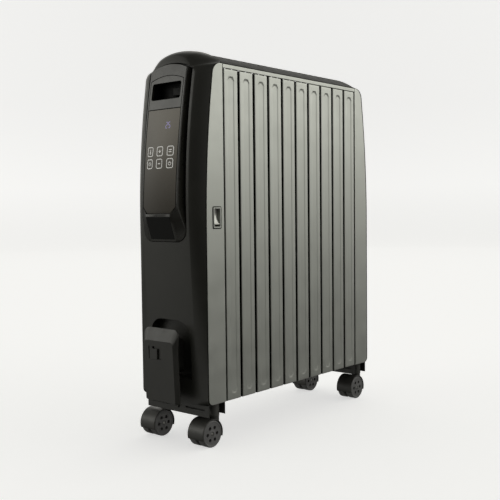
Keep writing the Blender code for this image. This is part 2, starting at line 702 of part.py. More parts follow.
def build_plugs():
    """Pressed plugs that close the header ends without an element."""
    for name, z, rear in (
        ("header_plug_lower_rear", LOWER_HEADER_Z, True),
        ("header_plug_upper_rear", UPPER_HEADER_Z, True),
        ("header_plug_upper_front", UPPER_HEADER_Z, False),
    ):
        plug = combine(disc(z, 0.018, -0.0060, -CLEAR), join=[disc(z, 0.0138, -0.002, 0.006)])
        if rear:
            plug = moved(mirrored(plug, 1), (0.0, FIN_STACK, 0.0))
        place(name, plug, "steel")


def build_switchgear():
    """Thermal cut-out, terminal block and the tip-over switch with its hanging weight."""
    button = prism(circle(0.0085, 16, (0.0, 0.148)), "y", -0.018, -0.008)
    cutout = combine(box((-0.015, -0.0100, 0.140), (0.015, -0.0022, 0.156)), join=[button])
    place("thermal_cutout", cutout, "grey_plastic")
    terminals = box((-0.030, -0.0180, 0.190), (0.020, -0.0022, 0.212))
    place("terminal_block", terminals, "white_plastic")

    x, y, z = TIP_PIVOT
    plate = box((x - 0.0120, -0.0050, z - 0.0100), (x + 0.0120, -0.0022, z + 0.0160))
    lug = box((x - 0.0080, -0.0200, z + 0.0050), (x + 0.0080, -0.0040, z + 0.0160))
    place("tip_over_switch", combine(plate, join=[lug]), "grey_plastic")

    eye = prism(circle(0.0040, 12), "y", -0.003, 0.003)
    arm = box((-0.0012, -0.0015, -0.030), (0.0012, 0.0015, -0.001))
    weight = prism(circle(0.0065, 14, (0.0, -0.032)), "y", -0.0055, 0.0055)
    place("tip_over_pendulum", combine(eye, join=[arm, weight]), "steel", TIP_PIVOT)


def build_rocker():
    """Rocker switch: a framed body in the panel window and the tilting rocker in it."""
    def outline(half_y, half_z, radius, steps=2):
        ring = rounded(half_y, ROCKER_Z - half_z, ROCKER_Z + half_z, radius, steps)
        return [(ROCKER_Y + a, z) for a, z in ring]

    rim = prism(outline(0.0093, 0.0171, 0.002), "x", HALF_WIDTH + CLEAR, HALF_WIDTH + 0.0010)
    body = prism(outline(0.0075, 0.0151, 0.001), "x", 0.0570, HALF_WIDTH + 0.0006)
    opening = outline(ROCKER_HALF_Y + 0.0004, ROCKER_HALF_Z + 0.0004, 0.0004, 1)
    pocket = prism(opening, "x", 0.0640, 0.0900)
    place("rocker_frame", combine(rim, join=[body], cut=[pocket]), "white_plastic")

    half_y = ROCKER_HALF_Y - 0.0001
    reach = ROCKER_HALF_Z - 0.0012
    low, high = 0.0050, 0.0085
    side = [(-0.0035, -0.0030), (-0.0035, 0.0030), (low - 0.0020, reach - 0.0002), (high, reach)]
    side += [(low + 0.0006, 0.0), (high, -reach), (low - 0.0020, 0.0002 - reach)]
    turned = []
    for x, z in side:
        turned.append((x * math.cos(ROCKER_TILT) - z * math.sin(ROCKER_TILT),
                       x * math.sin(ROCKER_TILT) + z * math.cos(ROCKER_TILT)))
    rocker = prism(turned, "y", -half_y, half_y)
    place("rocker", rocker, "white_plastic", (ROCKER_PIVOT_X, ROCKER_Y, ROCKER_Z))


# ---------------------------------------------------------------- brackets and casters
def build_brackets():
    sheet = BRACKET_SHEET
    web_low = BRACKET_TOP - sheet
    front_inner, rear_inner = BRACKET_FRONT + sheet, BRACKET_REAR - sheet
    profile = [(BRACKET_FRONT, BRACKET_SKIRT), (BRACKET_FRONT, BRACKET_TOP)]
    profile += [(BRACKET_REAR, BRACKET_TOP), (BRACKET_REAR, BRACKET_SKIRT)]
    profile += [(rear_inner, BRACKET_SKIRT), (rear_inner, web_low)]
    profile += [(front_inner, web_low), (front_inner, BRACKET_SKIRT)]
    channel = prism(profile, "x", -BRACKET_HALF, BRACKET_HALF)
    cuts = []
    for side in (-1, 1):
        cuts.append(prism(circle(0.0050, 12, (side * CASTER_X, STEM_Y)), "z", 0.060, 0.080))
        cuts.append(prism(circle(0.0028, 10, (side * 0.030, -0.020)), "z", 0.060, 0.080))
        low, high = sorted((side * 0.019, side * 0.063))
        cuts.append(box((low, -0.050, 0.0600), (high, -0.030, 0.0626)))
    cuts.append(prism(circle(0.0026, 10, (0.0, 0.0610)), "y", -0.050, -0.030))
    mesh = combine(channel, cut=cuts)
    thread = prism(circle(0.0024, 10), "z", -0.002, 0.0095)
    bolt = combine(prism(circle(0.0045, 6), "z", -0.0035, 0.0), join=[thread])
    shank = prism(circle(0.0022, 10), "y", -0.001, 0.008)
    driver_slot = box((-0.0025, -0.004, -0.0005), (0.0025, -0.0012, 0.0005))
    head = prism(circle(0.0042, 14), "y", -0.0022, 0.0)
    screw = combine(head, join=[shank], cut=[driver_slot])
    for end, shift in (("front", 0.0), ("rear", REAR_SHIFT)):
        place(f"caster_bracket_{end}", mesh, "grey_plastic", (0.0, shift, 0.0))
        for label, x in (("left", -0.030), ("right", 0.030)):
            place(f"bracket_bolt_{end}_{label}", bolt, "steel", (x, shift - 0.020, web_low - CLEAR))
        place(f"bracket_screw_{end}", screw, "steel", (0.0, shift + BRACKET_FRONT - CLEAR, 0.0610))


def caster_body_mesh():
    """Hood over the twin wheels, centre web, collar and stem pin; origin at the stem, floor."""
    def around_axle(radius, start, end, steps):
        return [(y - TRAIL, z + AXLE_Z) for y, z in arc((0.0, 0.0), radius, start, end, steps)]

    hood = around_axle(0.0246, -18, 198, 12) + around_axle(0.0222, 198, -18, 12)
    hood = prism(hood, "x", -CASTER_HALF, CASTER_HALF)
    collar = prism(circle(0.00925, 14), "z", 0.030, 0.0689)
    half_step = math.pi / WHEEL_SIDES
    round_wheel = circle(WHEEL_RADIUS + 0.0007, WHEEL_SIDES, (-TRAIL, AXLE_Z), half_step)
    wheel_room = prism(round_wheel, "x", WHEEL_INNER - 0.0005, CASTER_HALF + 0.01)
    web = around_axle(0.0232, -18, 198, 12)
    web = prism(web, "x", 0.0006 - WHEEL_INNER, WHEEL_INNER - 0.0006)
    pin = prism(circle(0.0040, 10), "z", 0.060, 0.0790)
    axle_hole = prism(circle(0.0033, 8, (-TRAIL, AXLE_Z)), "x", -0.03, 0.03)
    arch = combine(hood, join=[collar], cut=[wheel_room, mirrored(wheel_room, 0)])
    return combine(arch, join=[web, pin], cut=[axle_hole])


def wheel_mesh():
    """One wheel of a pair, origin at its axle on the caster's middle plane."""
    turn = math.pi / 2 + math.pi / WHEEL_SIDES

    def ring(radius, x):
        return [(x, y, z) for y, z in circle(radius, WHEEL_SIDES, turn=turn)]

    bevel = 0.0016
    tread = loft([ring(WHEEL_RADIUS, WHEEL_INNER), ring(WHEEL_RADIUS, WHEEL_OUTER - bevel),
                  ring(WHEEL_RADIUS - bevel, WHEEL_OUTER)])
    cuts = [prism(circle(0.0033, 8), "x", -0.01, 0.03)]
    for step in range(6):
        angle = math.radians(30 + 60 * step)
        centre = (0.0117 * math.cos(angle), 0.0117 * math.sin(angle))
        cuts.append(prism(circle(0.0022, 6, centre), "x", -0.01, 0.03))
    return combine(tread, cut=cuts)


def build_casters():
    body, right_wheel = caster_body_mesh(), wheel_mesh()
    left_wheel = mirrored(right_wheel, 0)
    axle = prism(circle(0.0026, 8), "x", -0.0165, 0.0165)
    for end, shift in (("front", 0.0), ("rear", REAR_SHIFT)):
        for label, x in (("left", -CASTER_X), ("right", CASTER_X)):
            name = f"caster_{end}_{label}"
            swivel = bpy.data.objects.new(f"{name}_swivel", None)
            swivel.location = (x, SEAM_Y + shift + STEM_Y, 0.0)
            bpy.context.collection.objects.link(swivel)
            place(f"{name}_body", body, "grey_plastic", parent=swivel)
            axle_place = (0.0, -TRAIL, AXLE_Z)
            place(f"{name}_axle", axle, "steel", axle_place, swivel)
            place(f"{name}_wheel_left", left_wheel, "black_plastic", axle_place, swivel)
            place(f"{name}_wheel_right", right_wheel, "black_plastic", axle_place, swivel)


def main():
    for leftover in list(bpy.data.objects):
        bpy.data.objects.remove(leftover)
    build_fins()
    build_end_panels()
    build_side_rails()
    build_top_cover()
    build_front_housing()
    build_pod()
    build_cord_store()
    build_rear_cover()
    build_element()
    build_plugs()
    build_switchgear()
    build_rocker()
    build_brackets()
    build_casters()


main()
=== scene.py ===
"""Looks for the oil filled radiator heater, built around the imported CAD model."""
import math

import bmesh
import bpy
from mathutils import Matrix, Vector


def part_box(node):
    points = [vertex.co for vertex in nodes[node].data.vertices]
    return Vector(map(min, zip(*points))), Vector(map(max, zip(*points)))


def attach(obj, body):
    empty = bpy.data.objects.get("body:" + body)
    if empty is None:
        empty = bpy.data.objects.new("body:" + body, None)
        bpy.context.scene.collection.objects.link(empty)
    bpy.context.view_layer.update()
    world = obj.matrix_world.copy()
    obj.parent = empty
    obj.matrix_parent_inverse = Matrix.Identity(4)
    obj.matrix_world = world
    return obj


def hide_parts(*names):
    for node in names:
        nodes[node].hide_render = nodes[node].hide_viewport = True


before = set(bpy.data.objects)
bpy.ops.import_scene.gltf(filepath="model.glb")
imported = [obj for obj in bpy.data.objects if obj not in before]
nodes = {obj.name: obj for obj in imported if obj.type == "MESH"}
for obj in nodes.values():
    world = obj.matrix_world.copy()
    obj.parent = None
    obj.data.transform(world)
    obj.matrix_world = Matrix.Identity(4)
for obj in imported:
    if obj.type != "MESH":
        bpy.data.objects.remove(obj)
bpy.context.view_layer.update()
ROOT = "radiator"

# The solids are laid out from the seam between the front end panel and the first fin
CLEAR = 0.0003
SEAM_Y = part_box("fin_01")[0].y - CLEAR / 2
FIN_COUNT = 10
FIN_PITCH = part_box("fin_02")[0].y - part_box("fin_01")[0].y
FIN_STACK = FIN_COUNT * FIN_PITCH
HALF_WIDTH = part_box("front_end_panel")[1].x
FIN_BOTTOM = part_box("fin_01")[0].z
FIN_TOP = 0.6210
PANEL_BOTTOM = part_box("front_end_panel")[0].z
PANEL_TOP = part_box("front_end_panel")[1].z
CROWN_TOP = 0.6540
DOME_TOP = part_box("front_housing")[1].z
PANEL_DEPTH = 0.0445
LOWER_HEADER_Z = 0.106
UPPER_HEADER_Z = 0.586
SHEET = 0.0012


# ---------------------------------------------------------------- mesh helpers
def to_mesh(bm):
    mesh = bpy.data.meshes.new("piece")
    bm.to_mesh(mesh)
    bm.free()
    return mesh


def loft(rows, cap=True, cap_last=True, closed=True):
    """Skin through equal rings of points, closed at both ends unless told otherwise."""
    bm = bmesh.new()
    rings = [[bm.verts.new(p) for p in row] for row in rows]
    count = len(rows[0])
    last = count if closed else count - 1
    for low, high in zip(rings, rings[1:]):
        for i in range(last):
            j = (i + 1) % count
            bm.faces.new((low[i], low[j], high[j], high[i]))
    if cap:
        bm.faces.new(rings[0])
        if cap_last:
            bm.faces.new(rings[-1])
        else:
            bmesh.ops.remove_doubles(bm, verts=bm.verts, dist=1e-5)
    bmesh.ops.recalc_face_normals(bm, faces=bm.faces)
    return to_mesh(bm)


def prism(outline, axis, low, high):
    """An outline extruded along an axis; pairs are (y, z), (x, z) or (x, y)."""
    places = {
        "x": lambda a, b, d: (d, a, b),
        "y": lambda a, b, d: (a, d, b),
        "z": lambda a, b, d: (a, b, d),
    }
    spot = places[axis]
    return loft([[spot(a, b, d) for a, b in outline] for d in (low, high)])


def block(low, high):
    (x0, y0, z0), (x1, y1, z1) = low, high
    return prism([(x0, y0), (x1, y0), (x1, y1), (x0, y1)], "z", z0, z1)


def circle(radius, sides, centre=(0.0, 0.0)):
    steps = [2 * math.pi * i / sides for i in range(sides)]
    return [(centre[0] + radius * math.cos(a), centre[1] + radius * math.sin(a)) for a in steps]


def arc(centre, radius, start, end, steps):
    angles = [math.radians(start + (end - start) * i / steps) for i in range(steps + 1)]
    return [(centre[0] + radius * math.cos(a), centre[1] + radius * math.sin(a)) for a in angles]


def rounded(half_a, low, high, radius, steps=6):
    a, r = half_a - radius, radius
    outline = arc((a, low + r), r, -90, 0, steps) + arc((a, high - r), r, 0, 90, steps)
    outline += arc((-a, high - r), r, 90, 180, steps) + arc((-a, low + r), r, 180, 270, steps)
    return outline


def arched_outline(half, side_top, arch_top, base):
    """An arched top over the given lower points, as a front view outline."""
    radius = (half ** 2 + (arch_top - side_top) ** 2) / (2 * (arch_top - side_top))
    spread = math.degrees(math.asin(half / radius))
    return arc((0.0, arch_top - radius), radius, 90 - spread, 90 + spread, 24) + base


def combine(base, join=(), cut=(), keep=()):
    """Booleans on copies of meshes: unions first, then intersections, then cuts."""
    scratch = bpy.data.objects.new("scratch", base)
    bpy.context.scene.collection.objects.link(scratch)
    tools = []
    steps = [("UNION", m) for m in join] + [("INTERSECT", m) for m in keep]
    for operation, mesh in steps + [("DIFFERENCE", m) for m in cut]:
        tool = bpy.data.objects.new("scratch_tool", mesh)
        bpy.context.scene.collection.objects.link(tool)
        modifier = scratch.modifiers.new(operation, "BOOLEAN")
        modifier.operation = operation
        modifier.object = tool
        tools.append(tool)
    return settled(scratch, tools)


def settled(scratch, tools=()):
    """The mesh of a scratch object with its modifiers applied; the scratch objects go."""
    bpy.context.view_layer.update()
    graph = bpy.context.evaluated_depsgraph_get()
    result = bpy.data.meshes.new_from_object(scratch.evaluated_get(graph))
    for unused in list(tools) + [scratch]:
        bpy.data.objects.remove(unused)
    return result


def modified(mesh, kind, **settings):
    scratch = bpy.data.objects.new("scratch", mesh)
    bpy.context.scene.collection.objects.link(scratch)
    modifier = scratch.modifiers.new(kind, kind)
    for name, value in settings.items():
        setattr(modifier, name, value)
    return settled(scratch)


def bevelled(mesh, width, segments=2, angle=40):
    return modified(mesh, "BEVEL", width=width, segments=segments, limit_method="ANGLE",
                    angle_limit=math.radians(angle))


def closed_ring(rows):
    """A tube swept once round: the last row meets the first and is welded to it."""
    bm = bmesh.new()
    bm.from_mesh(loft(rows + [rows[0]], cap=False))
    bmesh.ops.remove_doubles(bm, verts=bm.verts, dist=1e-6)
    bmesh.ops.recalc_face_normals(bm, faces=bm.faces)
    return to_mesh(bm)


def joined(meshes):
    """Several meshes as one, each keeping its own faces."""
    bm = bmesh.new()
    for mesh in meshes:
        bm.from_mesh(mesh)
    return to_mesh(bm)


def moved(mesh, offset):
    copy = mesh.copy()
    copy.transform(Matrix.Translation(offset))
    return copy


def mirrored(mesh, axis):
    copy = mesh.copy()
    flip = Matrix.Identity(4)
    flip[axis][axis] = -1.0
    copy.transform(flip)
    copy.flip_normals()
    return copy


def lathe(profile, axis="x", sides=72, centre=(0.0, 0.0, 0.0)):
    """Turn (position along the axis, radius) pairs about an axis through centre."""
    rows = []
    for along, radius in profile:
        row = []
        for a, b in circle(radius, sides):
            spot = {"x": (along, a, b), "y": (a, along, b), "z": (a, b, along)}[axis]
            row.append(Vector(spot) + Vector(centre))
        rows.append(row)
    return loft(rows)


def piece(name, mesh, material, body, replaces=(), sharp=30):
    """Link a finished piece in the row frame and say what it rides on and stands for."""
    mesh = moved(mesh, (0.0, SEAM_Y, 0.0))
    mesh.materials.clear()
    mesh.materials.append(material)
    mesh.shade_smooth()
    mesh.set_sharp_from_angle(angle=math.radians(sharp))
    mesh = modified(mesh, "WEIGHTED_NORMAL", weight=90, keep_sharp=True)
    mesh.name = name
    thing = bpy.data.objects.new(name, mesh)
    bpy.context.scene.collection.objects.link(thing)
    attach(thing, body)
    if replaces:
        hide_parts(*replaces)
    return thing


# ---------------------------------------------------------------- materials
def put(tree, socket, value):
    """Link an output into a socket, or set the socket to a constant."""
    if isinstance(value, bpy.types.NodeSocket):
        tree.links.new(value, socket)
    else:
        socket.default_value = value


def feed(tree, node, **values):
    """Fill a node's inputs by name; an underscore in a name stands for a space."""
    for name, value in values.items():
        put(tree, node.inputs[name.replace("_", " ")], value)
    return node


def add(tree, kind, operation=None, **values):
    node = tree.nodes.new("ShaderNode" + kind)
    if operation:
        node.operation = operation
    return feed(tree, node, **values)


def coat(name, dark, light, rough=(0.4, 0.5), metallic=0.0, grain=(900.0, 0.00003, 0.4),
         patch=9.0, coat_weight=0.0, specular=0.5, stretch=(1.0, 1.0, 1.0), gap_shade=None):
    """Procedural finish: colour drifts between two tones, roughness varies and a fine grain
    stands in relief. grain is (scale per metre, height, strength). The last argument is the pair of
    distances from the mid-plane inside which the colour fades to near black: painted shade in fin gaps."""
    material = bpy.data.materials.new(name)
    material.use_nodes = True
    tree = material.node_tree
    place = add(tree, "TexCoord").outputs["Object"]
    mapping = add(tree, "Mapping", Scale=stretch, Vector=place)

    def noise(scale, detail):
        texture = add(tree, "TexNoise", Scale=scale, Detail=detail, Vector=mapping.outputs["Vector"])
        return texture.outputs["Fac"]

    ramp = add(tree, "ValToRGB", Fac=noise(patch, 3.0))
    for element, position, tone in zip(ramp.color_ramp.elements, (0.35, 0.65), (dark, light)):
        element.position = position
        element.color = (*tone, 1.0)
    paint = ramp.outputs["Color"]
    # painted shade: the colour is scaled down to near black deep inside the gaps between fins
    if gap_shade:
        paint = paint_gap_shade(tree, place, paint, gap_shade)
    spread = add(tree, "MapRange", Value=noise(patch * 6.0, 4.0), From_Min=0.3, From_Max=0.7,
                 To_Min=rough[0], To_Max=rough[1])
    bump = add(tree, "Bump", Distance=grain[1], Strength=grain[2], Height=noise(grain[0], 2.0))
    feed(tree, tree.nodes["Principled BSDF"], Base_Color=paint, Metallic=metallic,
         Roughness=spread.outputs["Result"], Coat_Weight=coat_weight, Coat_Roughness=0.12,
         Specular_IOR_Level=specular, Normal=bump.outputs["Normal"])
    return material


def paint_gap_shade(tree, place, tone, distances):
    """Painted shade: fade a colour to near black inside the given distances from the mid-plane, deep in the
    fin gaps.
    """
    split = add(tree, "SeparateXYZ", Vector=place)
    reach = add(tree, "Math", "ABSOLUTE", Value=split.outputs["X"])
    cover = add(tree, "MapRange", Value=reach.outputs["Value"], From_Min=distances[0],
                From_Max=distances[1], To_Min=0.02)
    scaled = add(tree, "VectorMath", "SCALE", Vector=tone, Scale=cover.outputs["Result"])
    return scaled.outputs["Vector"]


def glow(name, colour, strength, base=(0.05, 0.045, 0.06)):
    """Lit print or segment with a slightly uneven brightness."""
    material = coat(name, base, base, rough=(0.3, 0.4))
    tree = material.node_tree
    feed(tree, tree.nodes["Principled BSDF"], Emission_Color=(*colour, 1.0), Emission_Strength=strength)
    return material


GREY = coat("satin_grey_paint", (0.525, 0.540, 0.505), (0.555, 0.570, 0.535), (0.34, 0.42), 0.95,
            (1400.0, 0.00002, 0.35), 6.0)
# Fin and end panel paint with painted shade: its colour goes near black deep in the gaps between fins.
FIN_GREY_GAP_SHADE = coat("satin_fin_paint_gap_shade", (0.525, 0.540, 0.505), (0.555, 0.570, 0.535), (0.34, 0.42), 0.95,
                (1400.0, 0.00002, 0.35), 6.0, gap_shade=(HALF_WIDTH - 0.0018, HALF_WIDTH - 0.0012))
BRACKET = coat("bracket_black_paint", (0.028, 0.028, 0.025), (0.038, 0.038, 0.034), (0.34, 0.44), 0.0,
               (1200.0, 0.00003, 0.4), 14.0)
SHELL = coat("textured_black_plastic", (0.030, 0.030, 0.025), (0.036, 0.036, 0.030), (0.34, 0.42), 0.0,
             (2600.0, 0.00005, 0.55), 10.0)
POD = coat("satin_pod_plastic", (0.030, 0.029, 0.025), (0.036, 0.035, 0.030), (0.24, 0.32), 0.0,
           (2000.0, 0.00001, 0.3), 10.0)
BEZEL = coat("gloss_bezel_plastic", (0.024, 0.024, 0.020), (0.028, 0.028, 0.023), (0.20, 0.28), 0.0,
             (1500.0, 0.00001, 0.2), 10.0)
# Black plastic darkened to near black: painted shade in the handle cavity and in the band round the rocker
# frame.
RECESS_SHADE_BLACK = coat("black_plastic_with_painted_recess_shade", (0.004, 0.004, 0.004), (0.006, 0.006, 0.005), (0.50, 0.62), 0.0,
           (1800.0, 0.00004, 0.5), 18.0, specular=0.2)
LENS = coat("gloss_display_lens", (0.017, 0.013, 0.008), (0.021, 0.016, 0.011), (0.10, 0.16), 0.0,
            (300.0, 0.00001, 0.15), 8.0, coat_weight=0.10, specular=0.45)
TOP = coat("matt_top_plastic", (0.012, 0.012, 0.010), (0.015, 0.015, 0.013), (0.52, 0.60), 0.0,
           (2600.0, 0.00005, 0.4), 10.0, specular=0.22)
feed(LENS.node_tree, LENS.node_tree.nodes["Principled BSDF"], Specular_Tint=(1.0, 0.93, 0.81, 1.0))
# Near-black gloss finish for the chin plate: painted shade of the down-facing chin below the pod face.
CHIN = coat("gloss_chin_painted_shade", (0.0020, 0.0020, 0.0012), (0.0030, 0.0030, 0.0020), (0.06, 0.10), 0.0,
            (1500.0, 0.00001, 0.2), 14.0, specular=0.16)
COLLAR = coat("satin_collar_steel", (0.10, 0.10, 0.092), (0.13, 0.13, 0.12), (0.26, 0.36), 0.3,
              (900.0, 0.00002, 0.4), 30.0)
STORE = coat("textured_cover_plastic", (0.034, 0.034, 0.030), (0.041, 0.041, 0.036), (0.34, 0.42), 0.0,
             (2600.0, 0.00005, 0.5), 12.0)
NYLON = coat("moulded_grey_nylon", (0.045, 0.044, 0.040), (0.060, 0.059, 0.054), (0.36, 0.46), 0.0,
             (1600.0, 0.00003, 0.4), 30.0)
WHEEL = coat("wheel_grey_nylon", (0.150, 0.148, 0.150), (0.185, 0.183, 0.185), (0.34, 0.44), 0.0,
             (1400.0, 0.00004, 0.4), 40.0)
ZINC = coat("zinc_plated_steel", (0.42, 0.42, 0.40), (0.52, 0.52, 0.49), (0.24, 0.38), 1.0,
            (500.0, 0.00002, 0.4), 60.0, stretch=(1.0, 1.0, 6.0))
ROCKER = coat("silver_rocker_plastic", (0.50, 0.50, 0.47), (0.58, 0.58, 0.55), (0.16, 0.22), 0.8,
              (1500.0, 0.00001, 0.3), 30.0)
PALE = coat("pale_switch_plastic", (0.56, 0.56, 0.53), (0.62, 0.62, 0.59), (0.22, 0.30), 0.0,
            (1500.0, 0.00001, 0.3), 30.0)
BOARD = coat("green_laminate", (0.010, 0.085, 0.030), (0.016, 0.110, 0.042), (0.30, 0.42), 0.0,
             (700.0, 0.00003, 0.6), 60.0, stretch=(1.0, 1.0, 4.0))
MODULE = coat("matt_module_plastic", (0.020, 0.020, 0.019), (0.028, 0.028, 0.026), (0.50, 0.62), 0.0,
              (1500.0, 0.00004, 0.5), 30.0)
COPPER = coat("drawn_copper", (0.62, 0.32, 0.19), (0.74, 0.42, 0.27), (0.22, 0.36), 1.0,
              (600.0, 0.00002, 0.4), 40.0, stretch=(1.0, 0.2, 1.0))
PRINT = glow("pale_icon_print", (0.80, 0.80, 0.77), 0.34, (0.62, 0.62, 0.59))
DIGITS = glow("violet_digit_segments", (0.46, 0.40, 0.85), 0.40, (0.10, 0.09, 0.16))
FLOOR = glow("pale_floor_paper", (1.0, 1.0, 0.995), 0.66, (0.85, 0.85, 0.846))


# ---------------------------------------------------------------- shared outlines
CREASE_X = 0.054
FRONT_Y, FRONT_Z, FRONT_RADIUS, FRONT_BREAK_Z = -0.0615, 0.395, 1.22, 0.330
FRONT_CROWN = 0.003
FRONT_CREASE_TOP, REAR_CREASE_TOP, REAR_BULGE = 0.6450, 0.6370, 0.0095
WALL = 0.0025
EDGE_TOP = 0.608
EDGE_CORNER = PANEL_TOP - EDGE_TOP
LOW_CORNER = 0.010


def panel_edge(z):
    """Distance of the end panel's outer edge from the fin seam at one height."""
    if z < PANEL_BOTTOM + LOW_CORNER:
        rise = LOW_CORNER - (z - PANEL_BOTTOM)
        return PANEL_DEPTH - LOW_CORNER + math.sqrt(max(LOW_CORNER ** 2 - rise ** 2, 0.0))
    start, radius = 0.361, 1.694
    if z < start:
        return PANEL_DEPTH
    return PANEL_DEPTH - radius + math.sqrt(radius ** 2 - (z - start) ** 2)


LOW_HEIGHTS = [PANEL_BOTTOM + LOW_CORNER * (1 - math.cos(math.radians(10 * i))) for i in range(10)]
ARC_HEIGHTS = [0.361 + 0.214 * i / 12 for i in range(13)]
CORNER_STEPS = 14


def panel_outline():
    outline = [(panel_edge(z), z) for z in LOW_HEIGHTS + ARC_HEIGHTS]
    top_edge = panel_edge(EDGE_TOP)
    return outline + arc((top_edge - EDGE_CORNER, EDGE_TOP), EDGE_CORNER, 0, 90, CORNER_STEPS)


def front_line(z):
    """The housing's front crease in side view: an arc, and its tangent below the break."""
    low = max(z, FRONT_BREAK_Z)
    y = FRONT_Y + (low - FRONT_Z) ** 2 / (2 * FRONT_RADIUS)
    return y + min(z - FRONT_BREAK_Z, 0.0) * (FRONT_BREAK_Z - FRONT_Z) / FRONT_RADIUS


def rear_line(z):
    return -(panel_edge(z) + REAR_BULGE)


def crown_arch(x, top=CROWN_TOP):
    rise = top - PANEL_TOP
    radius = (HALF_WIDTH ** 2 + rise ** 2) / (2 * rise)
    return top - radius + math.sqrt(max(radius ** 2 - x ** 2, 0.0))


# ---------------------------------------------------------------- fins
FIN_GAP = 0.0054


RIB_HALF, RIB_SHOULDER, RIB_DEPTH = 0.0084, 0.0021, 0.0010


def rib_height(y, z):
    """Relief of the rib pressed inwards: a long round-ended trough with soft shoulders."""
    low, high = 0.0835 + RIB_HALF, 0.6095 - RIB_HALF
    past = max(0.8 * (low - z), z - high, 0.0)
    share = min(max((RIB_HALF - math.hypot(y, past)) / RIB_SHOULDER, 0.0), 1.0)
    shallow = min(max((z - 0.0700) / 0.0450, 0.35), 1.0)
    return -RIB_DEPTH * shallow * share * share * (3 - 2 * share)


def fin_side():
    """One folded side panel of a fin as a sheet: lips, bends and the pressed rib."""
    half, bend, lip = (FIN_PITCH - FIN_GAP) / 2, 0.0015, 0.0060
    face = HALF_WIDTH
    shoulder = [0.0054 + 0.0004 * i for i in range(7)]
    flats = [0.0, 0.0028] + shoulder + [0.0105, 0.0130, half - bend]
    across = [-y for y in reversed(flats[1:])] + flats
    profile = [(face - lip, -half)]
    profile += [(face - bend + bend * math.sin(a), -half + bend - bend * math.cos(a))
                for a in (math.radians(18 * i) for i in range(5))]
    profile += [(face, y) for y in across]
    profile += [(face - bend + bend * math.cos(a), half - bend + bend * math.sin(a))
                for a in (math.radians(18 * i) for i in range(1, 6))]
    profile += [(face - lip, half)]
    ends = [0.0, 0.0004, 0.0010, 0.0018]
    heights = [FIN_BOTTOM + e for e in ends] + [0.0765, 0.0800]
    heights += [0.0808 + 0.0008 * i for i in range(15)]
    heights += [0.100 + 0.490 * i / 22 for i in range(1, 22)]
    heights += [0.6005 + 0.0008 * i for i in range(13)]
    heights += [0.6145] + [FIN_TOP - e for e in reversed(ends)]
    rows = []
    for z in heights:
        edge = min(z - FIN_BOTTOM, FIN_TOP - z)
        roll = 0.0018 - math.sqrt(max(0.0018 ** 2 - max(0.0018 - edge, 0.0) ** 2, 0.0))
        row = []
        for x, y in profile:
            inward = roll if x > face - lip + 0.001 else 0.0
            row.append((x - inward + (rib_height(y, z) if x == face else 0.0), y, z))
        rows.append(row)
    sheet = facing_out(loft(rows, cap=False, closed=False), 0)
    return modified(sheet, "SOLIDIFY", thickness=SHEET * 0.85, offset=-1.0)


def facing_out(mesh, axis):
    """Turn a sheet's faces so that most of them look away from the middle on one axis."""
    total = sum(p.normal[axis] * p.center[axis] * p.area for p in mesh.polygons)
    if total < 0:
        mesh.flip_normals()
    return mesh


def fin_core():
    """Welded web with its raised oil channel, and the header collars at both ends."""
    web_half = HALF_WIDTH - SHEET
    web = block((-web_half, -SHEET, 0.082), (web_half, SHEET, 0.610))
    rows = []
    for y, grow in ((-0.0065, -0.005), (-0.0055, -0.0012), (-0.0020, 0.0),
                    (0.0020, 0.0), (0.0055, -0.0012), (0.0065, -0.005)):
        low, high = LOWER_HEADER_Z - 0.004 - grow, UPPER_HEADER_Z + 0.004 + grow
        outline = rounded(0.030 + grow, low, high, 0.014, 6)
        rows.append([(x, y, z) for x, z in outline])
    channel = loft(rows)
    reach = FIN_PITCH / 2 - CLEAR / 2
    collars = []
    for z in (LOWER_HEADER_Z, UPPER_HEADER_Z):
        profile = [(-reach, 0.0192), (-reach, 0.0200), (-0.009, 0.0200), (-0.006, 0.0235),
                   (0.006, 0.0235), (0.009, 0.0200), (reach, 0.0200), (reach, 0.0192)]
        collars.append(lathe(profile, "y", 40, (0.0, 0.0, z)))
    return joined([web, channel] + collars)


def make_fins():
    side = fin_side()
    fin = joined([side, mirrored(side, 0), fin_core()])
    for number in range(FIN_COUNT):
        node = f"fin_{number + 1:02d}"
        shifted = moved(fin, (0.0, FIN_PITCH * (number + 0.5), 0.0))
        piece(f"{node}_pressed", shifted, FIN_GREY_GAP_SHADE, ROOT, [node], 40)


# ---------------------------------------------------------------- end panels, rails, top cover
PANEL_BACK, PANEL_FRONT = 0.0008, 0.0018
ROCKER_Y = (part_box("rocker_frame")[0].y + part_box("rocker_frame")[1].y) / 2 - SEAM_Y
ROCKER_Z = (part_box("rocker_frame")[0].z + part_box("rocker_frame")[1].z) / 2


